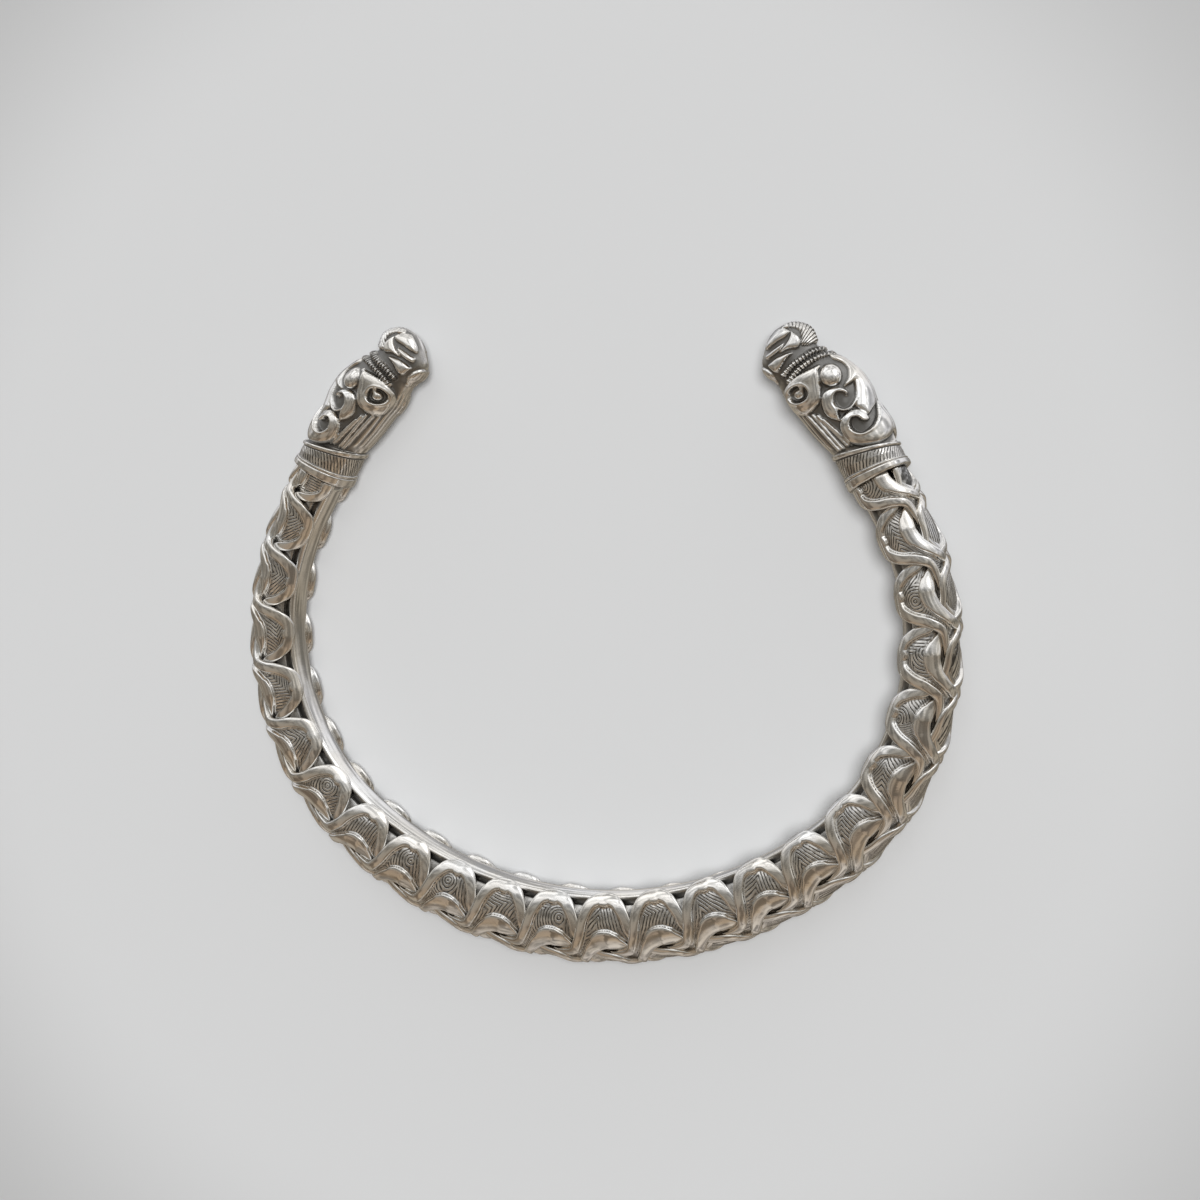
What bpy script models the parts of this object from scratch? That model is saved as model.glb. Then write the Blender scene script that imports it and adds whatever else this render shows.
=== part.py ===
"""An open silver arm ring, lying flat: a plaited band and two beast head terminals.

Lengths are in millimetres and become metres when a mesh is made. The bar is drawn
along its bore line, the inner side of the ring, with s counted from the middle of
its base, rho outwards from the line, and z up. The gap faces +Y.
"""
import math

import bpy
import numpy as np

MM = 0.001

# The bore line: a wide base arc, two tighter shoulder arcs and straight ends.
BASE_RADIUS = 40.75
BASE_HALF_LENGTH = 25.7
SHOULDER_RADIUS = 23.3
SHOULDER_HALF_LENGTH = 59.3
BAND_HALF_LENGTH = 63.1

# The bar's oval section at the middle of its base and at its ends.
MIDDLE_THICKNESS = 7.7
END_THICKNESS = 5.7
MIDDLE_WIDTH = 6.9
END_WIDTH = 6.2
INNER_SQUARENESS = 2.6
TIP_OVERHANG = 0.35

# The plait of four flat strands around the core, and the core's smooth inner strip.
ARCH_PITCH = 5.473
STRAND_THICKNESS = 0.65
CORE_DEPTH = 1.05
RIM_STEP = 0.36
RIM_WALL = 0.1
RIM_ROUNDING = 0.2
RIM_ROUNDING_WIDTH = 0.24
CRESCENT_FALL = 0.35
TIP_LIFT = 0.08
CROSSING_LIFT = 0.05
STRIP_HALF_WIDTH = 2.2
STRIP_DEPTH = 0.05
STRIP_CROWN = 1.0
STRIP_GROOVE = 0.35
STRIP_GROOVE_HALF_WIDTH = 0.3

# The tenon at each end of the band, and the collar of the head that sits over it.
TENON_INNER_DEPTH = 0.85
TENON_SHOULDER = 0.2
TENON_LENGTH = 2.8
JOINT_GAP = 0.3
COLLAR_INNER_LEDGE = 0.4
COLLAR_OUTER_LEDGE = 0.2
COLLAR_SIDE_LEDGE = 0.35
COLLAR_INNER_LENGTH = 4.1
COLLAR_OUTER_LENGTH = 2.4
COLLAR_SQUARENESS = 2.3

# The beast's head over its collar, and how its sides are rounded.
HEAD_LENGTH = 18.2
HEAD_SQUARENESS = 3.2
FULL_CARVING_HALF_DEPTH = 2.0

# Both collars and the plait under them are worn flat where the ring rests.
WORN_DEPTH = 0.13

# Fine surfaces are modelled first, then reduced to these numbers of triangles.
ROWS_PER_ARCH = 28
BAND_COLUMNS = 84
BAND_TRIANGLES = 5900
ROWS_PER_HEAD = 170
HEAD_COLUMNS = 120
HEAD_TRIANGLES = 1950

SILVER = (0.72, 0.71, 0.68, 1.0)
SILVER_ROUGHNESS = 0.3

# One edge of a strand from a near tip to the far eye: arches along, degrees around.
# The other edge is the same one turned about the strand's middle crossing.
STRAND_EDGE = (
    (0.00, 154), (0.10, 152.5), (0.20, 149), (0.30, 140), (0.37, 129), (0.45, 110),
    (0.51, 92), (0.56, 76), (0.66, 57), (0.88, 49), (1.08, 46), (1.27, 36), (1.45, 10),
    (1.55, -10), (1.63, -27), (1.78, -46), (1.90, -53), (2.00, -56),
)
EDGE_ANCHORS = (0, 7, 11, 14, 17)
STRAND_TURNS = (0.0, 0.5, 1.0, 1.5, 2.0)
EDGE_STEPS = 16
PASS_LENGTH = 2.0
RIM_TURNS = (0.0, 0.2, 0.4, 0.75, 1.0, 1.25, 1.5, 1.75, 2.0)
RIM_WIDTHS = (1.55, 1.25, 0.98, 0.85, 0.8, 0.85, 0.95, 1.3, 2.0)
CRESCENT_TURNS = (1.25, 1.95)

# How many turns along a strand, and places across it, its heights are worked out at.
STRAND_SAMPLES = (500, 140)

# Collar rows from its lip: share of its length, and how deep each row is cut.
COLLAR_ROWS = (
    (0.0, 0.12), (0.05, 0.0), (0.24, 0.0), (0.28, 0.3), (0.32, 0.1), (0.40, 0.1),
    (0.43, 0.22), (0.84, 0.22), (0.86, 0.38), (0.90, 0.0), (0.98, 0.0), (1.0, 0.3),
)

# The head's profile, along from the lip and outwards from the bore line: a point of
# the throat, the point of the nape across from it, and the half depth between them.
HEAD_PROFILE = (
    ((4.16, -0.55), (2.5, 5.8), 2.75), ((6.83, -1.35), (4.76, 6.18), 2.75),
    ((9.15, -1.85), (6.9, 5.95), 2.75), ((10.49, -2.2), (8.57, 6.1), 2.7),
    ((11.6, -2.25), (10.2, 5.9), 2.6), ((12.93, -2.29), (11.6, 5.35), 2.5),
    ((13.54, -2.35), (12.7, 4.65), 2.4), ((14.33, -2.77), (13.62, 3.85), 2.35),
    ((15.28, -2.94), (14.49, 3.3), 2.3), ((16.0, -2.7), (15.4, 3.25), 2.2),
    ((16.6, -2.2), (16.46, 3.35), 2.0), ((17.31, -1.54), (17.23, 2.97), 1.7),
    ((17.8, -0.9), (17.83, 2.3), 1.25), ((18.1, -0.2), (18.1, 1.7), 0.8),
)
SNOUT_TIP = (18.2, 0.7)
EYE = ((11.22, 3.33), 1.05, 0.75)

# Each scroll has a centre, its turns as angle and radius, and a half width.
SCROLLS = (
    ((10.26, 0.30), ((45, 3.1), (78, 1.7), (111, 1.2), (207, 1.15), (291, 1.1), (400, 0.8)), 0.5),
    ((8.36, 3.14), ((228, 1.6), (310, 1.2), (365, 1.0), (420, 0.7)), 0.55),
    ((5.52, 3.86), ((60, 2.6), (116, 2.5), (160, 2.1), (199, 1.8), (290, 1.25), (446, 0.7)), 0.62),
)
# Raised bands, each with its points, half width and height.
BANDS = (
    (((13.1, 4.1), (11.6, 5.1), (9.6, 5.3), (8.2, 5.4), (6.9, 6.0)), 0.8, 0.45),
    (((13.66, 4.3), (13.6, 2.2), (13.32, -0.1)), 0.26, 0.4),
    (((12.96, 4.5), (12.8, 2.2), (12.2, -0.4)), 0.26, 0.4),
    (((18.0, 0.6), (17.6, 2.0), (16.4, 2.9), (15.0, 3.0)), 0.5, 0.4),
    (((16.9, 1.9), (16.7, 0.6), (16.4, -1.4)), 0.5, 0.4),
    (((15.2, 2.0), (15.2, 0.6), (15.3, -1.2)), 0.42, 0.35),
    (((15.5, -2.5), (14.4, -2.2), (13.3, -1.5)), 0.4, 0.45),
    (((12.9, -1.7), (11.6, -1.8), (10.4, -1.7)), 0.3, 0.25),
)
FLUTES = 4
FLUTE_START = (4.6, 1.6)
FLUTE_END = (8.4, 0.35)
FLUTE_SPACING = 0.5
FLUTE_HALF_WIDTH = 0.22
FLUTE_HEIGHT = 0.2
SCROLL_HEIGHT = 0.5


def path_distance(points, path):
    """Distance from each point to a path of short stretches, and its nearest corner."""
    nearest = np.full(len(points), np.inf)
    corner = np.zeros(len(points))
    for number, (start, end) in enumerate(zip(path, path[1:])):
        along = end - start
        share = np.clip((points - start) @ along / (along @ along), 0, 1)
        gap = points - start - share[:, None] * along
        gap = np.hypot(gap[:, 0], gap[:, 1])
        corner = np.where(gap < nearest, number + share, corner)
        nearest = np.minimum(nearest, gap)
    return nearest, corner


def swelling(s):
    """1 at the middle of the base, falling to 0 at the ends of the band."""
    return np.cos(0.5 * np.pi * np.clip(s / BAND_HALF_LENGTH, -1.0, 1.0)) ** 2


def bore_line(s):
    """Place and heading of the bore line at a length s from its middle."""
    side = np.where(s < 0, -1.0, 1.0)
    length = np.abs(s)
    base = np.minimum(length, BASE_HALF_LENGTH) / BASE_RADIUS
    bend = np.clip(length, BASE_HALF_LENGTH, SHOULDER_HALF_LENGTH) - BASE_HALF_LENGTH
    heading = base + bend / SHOULDER_RADIUS
    straight = np.maximum(length - SHOULDER_HALF_LENGTH, 0)
    x = BASE_RADIUS * np.sin(base)
    x = x + SHOULDER_RADIUS * (np.sin(heading) - np.sin(base)) + straight * np.cos(heading)
    y = BASE_RADIUS * (1.0 - np.cos(base))
    y = y + SHOULDER_RADIUS * (np.cos(base) - np.cos(heading)) + straight * np.sin(heading)
    return side * x, y, side * heading


def in_space(s, rho, z):
    """Points at a length s, a distance rho outside the bore line, and a height z."""
    x, y, heading = bore_line(s)
    x, y, z = np.broadcast_arrays(x + rho * np.sin(heading), y - rho * np.cos(heading), z)
    return np.stack([x, y, z], -1)


def signed_power(value, power):
    """A power of a number's size that keeps its sign."""
    return np.sign(value) * np.abs(value) ** power


def bar_section(s, angle):
    """Point and normal of the bar's oval section, as rho, z and their directions."""
    swell = swelling(s)
    thickness = END_THICKNESS + (MIDDLE_THICKNESS - END_THICKNESS) * swell
    half_width = 0.5 * (END_WIDTH + (MIDDLE_WIDTH - END_WIDTH) * swell)
    half = 0.5 * (thickness + TIP_OVERHANG)
    power = np.where(np.cos(angle) < 0, INNER_SQUARENESS, 2.0)
    rho = half * signed_power(np.cos(angle), 2 / power)
    z = half_width * signed_power(np.sin(angle), 2 / power)
    slope_rho = signed_power(rho / half, power - 1) / half
    slope_z = signed_power(z / half_width, power - 1) / half_width
    size = np.hypot(slope_rho, slope_z)
    return rho + half - TIP_OVERHANG, z, slope_rho / size, slope_z / size


def smooth_curve(points, count):
    """A curve through a few points, read at evenly spread parameters."""
    p = np.asarray(points, float)
    p = np.vstack([2 * p[0] - p[1], p, 2 * p[-1] - p[-2]])
    t = np.linspace(0, len(points) - 1, count)
    i = np.minimum(t.astype(int), len(points) - 2)
    f = (t - i)[:, None]
    before, start, end, after = p[i], p[i + 1], p[i + 2], p[i + 3]
    return 0.5 * (2 * start + (end - before) * f
                  + (2 * before - 5 * start + 4 * end - after) * f**2
                  + (3 * start - before - 3 * end + after) * f**3)


def strand_edge():
    """A strand's high edge over one pass, and how many turns it has made at each point."""
    edge = smooth_curve(STRAND_EDGE, (len(STRAND_EDGE) - 1) * EDGE_STEPS + 1)
    anchors = np.array(EDGE_ANCHORS) * EDGE_STEPS
    return edge, np.interp(np.arange(len(edge)), anchors, STRAND_TURNS)


def across_the_crossing(place):
    """Places on one edge of a strand as the same places on its other edge."""
    return np.array([PASS_LENGTH, 0.0]) - place


def strand_edges(turn):
    """Both edges of a strand, for turns from 0 at a near tip to 2 at a far tip."""
    edge, turns = strand_edge()
    high = np.stack([np.interp(turn, turns, edge[:, k]) for k in (0, 1)], -1)
    low = np.stack([np.interp(turns[-1] - turn, turns, edge[:, k]) for k in (0, 1)], -1)
    return high, across_the_crossing(low)


def unrolled(place):
    """Arches along and degrees around as lengths on the bar's unrolled skin."""
    degrees = np.arange(0.0, 181.0)
    rho, z, _, _ = bar_section(0.5 * BAND_HALF_LENGTH, np.radians(degrees))
    lengths = np.concatenate([[0], np.cumsum(np.hypot(np.diff(rho), np.diff(z)))])
    around = np.interp(np.abs(place[..., 1]), degrees, lengths) * np.sign(place[..., 1])
    return np.stack([place[..., 0] * ARCH_PITCH, around], -1)


def edge_gap(place):
    """Distance of points from the high edge, and its turn where it is nearest."""
    edge, turn = strand_edge()
    more = EDGE_ANCHORS[1] * EDGE_STEPS
    before = edge[more:0:-1] * [-1, 1]
    after = edge[-2:-more - 2:-1] * [-1, 1] + [2 * PASS_LENGTH, 0]
    path = unrolled(np.vstack([before, edge, after]))
    turn = np.concatenate([turn[more:0:-1], turn, turn[-2:-more - 2:-1]])
    gap, corner = path_distance(unrolled(place), path)
    return gap, np.interp(corner, np.arange(len(turn)), turn)


def rim_height(turn, distance):
    """Height over the sunk panel at a distance from a strand's edge."""
    rim = np.interp(turn, RIM_TURNS, RIM_WIDTHS)
    crescent = np.interp(turn, CRESCENT_TURNS, (0, 1))
    fall = crescent * CRESCENT_FALL * np.clip(1 - distance / rim, 0, 1) ** 2
    rounding = RIM_ROUNDING * np.clip(1 - distance / RIM_ROUNDING_WIDTH, 0, 1) ** 2
    return np.clip((rim - distance) / RIM_WALL, 0, 1) * (RIM_STEP - fall) - rounding


def strand_lie(turn, over):
    """Height of a strand's rims where it passes over or under its neighbours."""
    crossing = -STRAND_THICKNESS if over else CROSSING_LIFT
    middle = 0.0 if over else -STRAND_THICKNESS
    rest = np.where(np.abs(turn - 1) > 0.5, TIP_LIFT, middle)
    return crossing + (rest - crossing) * (0.5 + 0.5 * np.cos(2 * np.pi * turn))


def plait_heights():
    """Heights of the plait over one arch, as rows along and columns around."""
    turns = np.linspace(STRAND_TURNS[0], STRAND_TURNS[-1], STRAND_SAMPLES[0])
    shares = np.linspace(0, 1, STRAND_SAMPLES[1])
    turn, share = (grid.ravel() for grid in np.meshgrid(turns, shares, indexing="ij"))
    high, low = strand_edges(turn)
    place = high + (low - high) * share[:, None]
    high_gap, high_turn = edge_gap(place)
    low_gap, low_turn = edge_gap(across_the_crossing(place))
    relief = rim_height(high_turn, high_gap) + rim_height(low_turn, low_gap) - RIM_STEP
    heights = np.full((ROWS_PER_ARCH, BAND_COLUMNS), -CORE_DEPTH)
    row = np.floor(place[:, 0] % 1.0 * ROWS_PER_ARCH).astype(int) % ROWS_PER_ARCH
    for over, side in ((True, 1.0), (False, -1.0)):
        around = side * place[:, 1] / 360.0 % 1.0
        column = np.floor(around * BAND_COLUMNS).astype(int) % BAND_COLUMNS
        np.maximum.at(heights, (row, column), strand_lie(turn, over) + relief)
    return heights


def band_rings():
    """Closed rings of the plaited bar between its two flat end faces."""
    heights = plait_heights()
    step = ARCH_PITCH / ROWS_PER_ARCH
    count = int(BAND_HALF_LENGTH / step - 0.25)
    rows = np.arange(-count, count)
    s = (rows + 0.5) * step
    s = np.concatenate([[-BAND_HALF_LENGTH], s, [BAND_HALF_LENGTH]])[:, None]
    rows = np.concatenate([[rows[0]], rows, [rows[-1]]]) + ROWS_PER_ARCH // 2
    angle = (np.arange(BAND_COLUMNS) + 0.5)[None, :] * 2 * np.pi / BAND_COLUMNS
    height = heights[rows % ROWS_PER_ARCH]
    rho, z, out_rho, out_z = bar_section(s, angle)
    beside = (np.abs(z) - STRIP_HALF_WIDTH) / STRIP_GROOVE_HALF_WIDTH
    groove = STRIP_GROOVE * np.exp(-(beside**2))
    across = np.clip(np.abs(z) / STRIP_HALF_WIDTH, 0, 1)
    crown = STRIP_DEPTH + STRIP_CROWN * (1 - np.sqrt(1 - across**2))
    strip = np.where(across < 1, (crown - rho) / np.minimum(out_rho, -0.5), -CORE_DEPTH)
    inner_side = np.cos(angle) < -0.5
    height = np.where(inner_side, np.maximum(height, strip - groove), height)
    return in_space(s, rho + out_rho * height, z + out_z * height)


def tenon_centre():
    """Distance of the tenons' axis from the bore line."""
    return 0.5 * (END_THICKNESS - CORE_DEPTH + TENON_INNER_DEPTH)


def tenon_radius():
    """Radius of the tenons, with a shoulder left around them on the core."""
    return 0.5 * (END_THICKNESS - CORE_DEPTH - TENON_INNER_DEPTH) - TENON_SHOULDER


def round_ring(s, radius, columns, offset=0.0):
    """A ring around the tenons' axis."""
    angle = (np.arange(columns) + offset) * 2 * np.pi / columns
    return in_space(s, tenon_centre() + radius * np.cos(angle), radius * np.sin(angle))


def make_band():
    """The plaited band with a tenon at each end."""
    rings = list(band_rings())
    reach = BAND_HALF_LENGTH + TENON_LENGTH
    for side, place in ((-1, 0), (1, len(rings))):
        root = round_ring(side * BAND_HALF_LENGTH, tenon_radius(), BAND_COLUMNS, 0.5)
        tip = round_ring(side * reach, tenon_radius(), BAND_COLUMNS, 0.5)
        rings[place:place] = [tip, root] if side < 0 else [root, tip]
    poles = [in_space(side * reach, tenon_centre(), 0.0) for side in (-1, 1)]
    return closed_tube("band", rings, *poles, BAND_TRIANGLES)


def head_place(points):
    """Head points, along from the lip and out from the bore line, and z, in space."""
    return in_space(BAND_HALF_LENGTH + JOINT_GAP + points[..., 0], points[..., 1], points[..., 2])


def cross_ring(throat, nape, half_depth, squareness):
    """A ring around the head between a throat point and a nape point."""
    angle = np.arange(HEAD_COLUMNS) * 2 * np.pi / HEAD_COLUMNS
    across = np.cos(angle)[:, None]
    throat, nape = np.asarray(throat), np.asarray(nape)
    flat = 0.5 * (throat + nape) + 0.5 * (nape - throat) * across
    rise = np.clip(1 - np.abs(np.cos(angle)) ** squareness, 0, 1) ** (1 / squareness)
    return np.column_stack([flat, half_depth * np.sign(np.round(np.sin(angle), 9)) * rise])


def collar_rings():
    """Rings of the collar from its lip to its upper rim."""
    inner, outer = -TIP_OVERHANG - COLLAR_INNER_LEDGE, END_THICKNESS + COLLAR_OUTER_LEDGE
    half_depth = 0.5 * END_WIDTH + COLLAR_SIDE_LEDGE
    rings = []
    for share, cut in COLLAR_ROWS:
        throat = (share * COLLAR_INNER_LENGTH, inner + cut)
        nape = (share * COLLAR_OUTER_LENGTH, outer - cut)
        rings.append(cross_ring(throat, nape, half_depth - cut, COLLAR_SQUARENESS))
    return rings


def carved_bands():
    """Every raised band of the head, as its path, half width and height."""
    for centre, turns, half_width in SCROLLS:
        angle, radius = smooth_curve(turns, 12 * len(turns)).T
        turn = np.radians(angle)
        path = np.array(centre) + radius[:, None] * np.column_stack([np.cos(turn), np.sin(turn)])
        yield path, half_width, SCROLL_HEIGHT
    for points, half_width, height in BANDS:
        yield smooth_curve(points, 16), half_width, height
    for k in range(FLUTES):
        aside = np.array([0.35, 1.0]) * k * -FLUTE_SPACING
        yield np.array([FLUTE_START, FLUTE_END]) + aside, FLUTE_HALF_WIDTH, FLUTE_HEIGHT


def carving(points):
    """Height of the carving over the head's side at points of its profile."""
    height = np.zeros(len(points))
    for path, half_width, rise in carved_bands():
        share = np.clip(path_distance(points, path)[0] / half_width, 0, 1)
        height = np.maximum(height, rise * np.sqrt(1 - share**2))
    centre, radius, rise = EYE
    share = np.hypot(*(points - centre).T) / radius
    return np.where(share < 1, rise * np.sqrt(1 - np.clip(share, 0, 1) ** 2), height)


def head_rings():
    """Rings of the beast's head from its neck to its snout, with the carving on them."""
    drawn = np.array([[*throat, *nape, depth] for throat, nape, depth in HEAD_PROFILE])
    rings = []
    for row in smooth_curve(drawn, ROWS_PER_HEAD):
        ring = cross_ring(row[:2], row[2:4], row[4], HEAD_SQUARENESS)
        side = ring[:, 2] / row[4]
        rise = carving(ring[:, :2]) * min(1.0, row[4] / FULL_CARVING_HALF_DEPTH)
        ring[:, 2] += side * rise
        rings.append(ring)
    scale = HEAD_LENGTH / SNOUT_TIP[0]
    return [ring * scale for ring in rings]


def make_head(name, side):
    """One terminal: a socket for the tenon, a collar and a beast's head."""
    bore = tenon_radius() + JOINT_GAP
    floor = BAND_HALF_LENGTH + TENON_LENGTH + JOINT_GAP
    socket = [round_ring(at, bore, HEAD_COLUMNS) for at in (floor, BAND_HALF_LENGTH + JOINT_GAP)]
    rings = socket + [head_place(ring) for ring in collar_rings() + head_rings()]
    tip = np.array([*SNOUT_TIP, 0.0]) * HEAD_LENGTH / SNOUT_TIP[0]
    poles = [in_space(floor, tenon_centre(), 0.0), head_place(tip)]
    mirror = np.array([side, 1.0, 1.0])
    rings = [ring * mirror for ring in rings]
    return closed_tube(name, rings, *(pole * mirror for pole in poles), HEAD_TRIANGLES)


def closed_tube(name, rings, first_pole, last_pole, triangles):
    """A closed skin over rings and a pole at each end, reduced and worn flat below."""
    points = np.vstack([*rings, first_pole, last_pole]) * MM
    columns = len(rings[0])
    faces = []
    for k in range(columns):
        right = (k + 1) % columns
        for start in range(0, (len(rings) - 1) * columns, columns):
            after = start + columns
            faces.append((start + k, start + right, after + right, after + k))
        last = (len(rings) - 1) * columns
        faces.append((right, k, len(points) - 2))
        faces.append((last + k, last + right, len(points) - 1))
    volume = sum(np.cross(points[f[0]], points[f[1]]) @ points[f[2]] for f in faces)
    if volume < 0:
        faces = [face[::-1] for face in faces]
    mesh = bpy.data.meshes.new(name)
    mesh.from_pydata(points.tolist(), [], faces)
    item = bpy.data.objects.new(name, mesh)
    bpy.context.collection.objects.link(item)
    reduce_triangles(item, triangles)
    wear_flat(item.data)
    item.data.shade_smooth()
    item.data.set_sharp_from_angle(angle=math.radians(35))
    return item


def reduce_triangles(item, triangles):
    """Keep the form of a fine mesh with about this many triangles."""
    reduce = item.modifiers.new("Reduce", "DECIMATE")
    reduce.ratio = triangles / sum(len(face.vertices) - 2 for face in item.data.polygons)
    reduce.use_collapse_triangulate = True
    graph = bpy.context.evaluated_depsgraph_get()
    mesh = bpy.data.meshes.new_from_object(item.evaluated_get(graph))
    item.modifiers.clear()
    item.data = mesh


def wear_flat(mesh):
    """Flatten whatever is lower than the worn sides of the collars."""
    lowest = -MM * (0.5 * END_WIDTH + COLLAR_SIDE_LEDGE - WORN_DEPTH)
    for vertex in mesh.vertices:
        vertex.co.z = max(vertex.co.z, lowest)


def silver_material(name):
    """Polished silver for one piece."""
    material = bpy.data.materials.new(name)
    material.use_nodes = True
    shader = material.node_tree.nodes["Principled BSDF"]
    shader.inputs["Base Color"].default_value = SILVER
    shader.inputs["Metallic"].default_value = 1.0
    shader.inputs["Roughness"].default_value = SILVER_ROUGHNESS
    material.diffuse_color = SILVER
    return material


def stand_on_origin(items):
    """Put the middle of the ring's lowest side at the origin."""
    points = np.array([vertex.co[:] for item in items for vertex in item.data.vertices])
    low, high = points.min(axis=0), points.max(axis=0)
    root = bpy.data.objects.new("arm_ring", None)
    bpy.context.collection.objects.link(root)
    root.location = (-0.5 * (low[0] + high[0]), -0.5 * (low[1] + high[1]), -low[2])
    for item in items:
        item.parent = root


def main():
    """Model the arm ring."""
    for old in list(bpy.data.objects):
        bpy.data.objects.remove(old)
    items = [make_band(), make_head("head_left", -1), make_head("head_right", 1)]
    for item in items:
        item.data.materials.append(silver_material(item.name + "_silver"))
    stand_on_origin(items)


main()
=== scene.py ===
"""Looks of an open silver arm ring lying flat: four plaited strands and two beast heads.

Lengths are in millimetres until a point is placed, and then in metres. The bar is
drawn along its bore line, the inner side of the ring, with s counted from the middle
of its base, rho outwards from the line, and z up. The gap between the heads faces +Y.
"""
from __future__ import annotations

import logging
import math
from dataclasses import dataclass, field
from enum import Enum

import bpy
import numpy as np
from mathutils import Matrix, Vector

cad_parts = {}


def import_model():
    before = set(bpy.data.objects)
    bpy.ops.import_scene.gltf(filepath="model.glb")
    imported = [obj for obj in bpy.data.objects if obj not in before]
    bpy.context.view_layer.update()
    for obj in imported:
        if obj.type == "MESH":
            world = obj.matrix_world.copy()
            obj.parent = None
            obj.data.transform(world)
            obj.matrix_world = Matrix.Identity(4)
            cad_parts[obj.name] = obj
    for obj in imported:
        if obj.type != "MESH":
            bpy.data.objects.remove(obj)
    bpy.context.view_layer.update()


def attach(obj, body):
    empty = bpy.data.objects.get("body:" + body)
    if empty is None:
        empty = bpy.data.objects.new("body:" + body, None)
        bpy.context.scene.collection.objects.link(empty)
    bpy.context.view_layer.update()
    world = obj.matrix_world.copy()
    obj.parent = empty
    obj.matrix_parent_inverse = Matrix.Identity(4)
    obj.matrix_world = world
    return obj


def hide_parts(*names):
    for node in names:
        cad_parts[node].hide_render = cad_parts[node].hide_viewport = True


MM = 0.001
MERGE_DISTANCE = 1e-6
TINY_STEP = 1e-9
TINY_SQUARE = 1e-12
BLUR_REACH = 3
NARROWEST_BLUR = 0.3
# How many points a smooth curve gets for each point that it is drawn through.
OUTLINE_STEPS = 6
STROKE_STEPS = 8
# The far tip of a strand's pass, as arches along and degrees around.
FAR_TIP = np.array([2.0, 0.0])

log = logging.getLogger("arm_ring")


class Side(Enum):
    """The two arms of the ring, with the sign of their place along X."""

    LEFT = -1
    RIGHT = 1


class Edge(Enum):
    """How the far end of a raised shape's outline meets the ground."""

    ROUND = "round"
    BEADED = "beaded"


def signed_power(value: np.ndarray, power: float | np.ndarray) -> np.ndarray:
    """A power of a number's size that keeps its sign."""
    return np.sign(value) * np.abs(value) ** power


def rounded(share: np.ndarray) -> np.ndarray:
    """A quarter round that rises from 0 to 1 as the share goes from 0 to 1."""
    return np.sqrt(np.clip(1.0 - (1.0 - np.clip(share, 0, 1)) ** 2, 0, 1))


def eased(value: np.ndarray, start: float, end: float) -> np.ndarray:
    """A smooth step from 0 at the start to 1 at the end."""
    share = np.clip((value - start) / (end - start), 0, 1)
    return share * share * (3.0 - 2.0 * share)


def smooth_curve(points: tuple | np.ndarray, count: int) -> np.ndarray:
    """A curve through a few points, read at evenly spread parameters.

    Args:
        points: The points that it passes through, one row each.
        count: How many points to read.

    Returns:
        The points read, one row each.
    """
    p = np.asarray(points, float)
    last = len(p) - 2
    p = np.vstack([2 * p[0] - p[1], p, 2 * p[-1] - p[-2]])
    t = np.linspace(0, last + 1, count)
    i = np.minimum(t.astype(int), last)
    f = (t - i)[:, None]
    before, start, end, after = p[i], p[i + 1], p[i + 2], p[i + 3]
    return 0.5 * (2 * start + (end - before) * f
                  + (2 * before - 5 * start + 4 * end - after) * f**2
                  + (3 * start - before - 3 * end + after) * f**3)


def path_distance(points: np.ndarray, path: np.ndarray) -> tuple[np.ndarray, np.ndarray]:
    """Distance from points to a path made of short straight stretches.

    Args:
        points: Points of the plane, one row each.
        path: The corners of the path, one row each.

    Returns:
        The distance of each point, and the place nearest to it as a number of corners.
    """
    nearest = np.full(len(points), np.inf)
    place = np.zeros(len(points))
    for number, (start, end) in enumerate(zip(path, path[1:])):
        along = end - start
        size = max(float(along @ along), TINY_SQUARE)
        share = np.clip((points - start) @ along / size, 0, 1)
        gap = np.hypot(*(points - start - share[:, None] * along).T)
        closer = gap < nearest
        nearest = np.where(closer, gap, nearest)
        place = np.where(closer, number + share, place)
    return nearest, place


def path_lengths(path: np.ndarray) -> np.ndarray:
    """Length along a path at each of its corners."""
    return np.concatenate([[0.0], np.cumsum(np.hypot(*np.diff(path, axis=0).T))])


def inside_outline(points: np.ndarray, outline: np.ndarray) -> np.ndarray:
    """Whether each point lies inside a closed outline.

    Args:
        points: Points of the plane, one row each.
        outline: The corners of the outline, one row each.

    Returns:
        True for each point inside.
    """
    inside = np.zeros(len(points), bool)
    x, y = points.T
    for (x0, y0), (x1, y1) in zip(outline, np.roll(outline, -1, axis=0)):
        if y0 == y1:
            continue
        crossing = x0 + (y - y0) * (x1 - x0) / (y1 - y0)
        inside ^= ((y0 > y) != (y1 > y)) & (x < crossing)
    return inside


def softened(field_: np.ndarray, rows: float, columns: float, wrap_rows: bool) -> np.ndarray:
    """A field blurred by a soft weight, wrapped around its columns.

    Args:
        field_: Values in rows and columns.
        rows: Spread along the rows' axis, in rows.
        columns: Spread along the columns' axis, in columns.
        wrap_rows: Whether the first row follows the last.

    Returns:
        The blurred field.
    """
    result = field_
    for axis, spread in ((0, rows), (1, columns)):
        reach = int(BLUR_REACH * spread) + 1
        steps = np.arange(-reach, reach + 1)
        weights = np.exp(-0.5 * (steps / max(spread, NARROWEST_BLUR)) ** 2)
        padded = result
        if axis == 0 and not wrap_rows:
            padded = np.pad(result, ((reach, reach), (0, 0)), mode="edge")
        total = sum(w * np.roll(padded, k, axis=axis) for w, k in zip(weights, steps))
        total = total / weights.sum()
        result = total[reach:-reach] if axis == 0 and not wrap_rows else total
    return result


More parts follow.
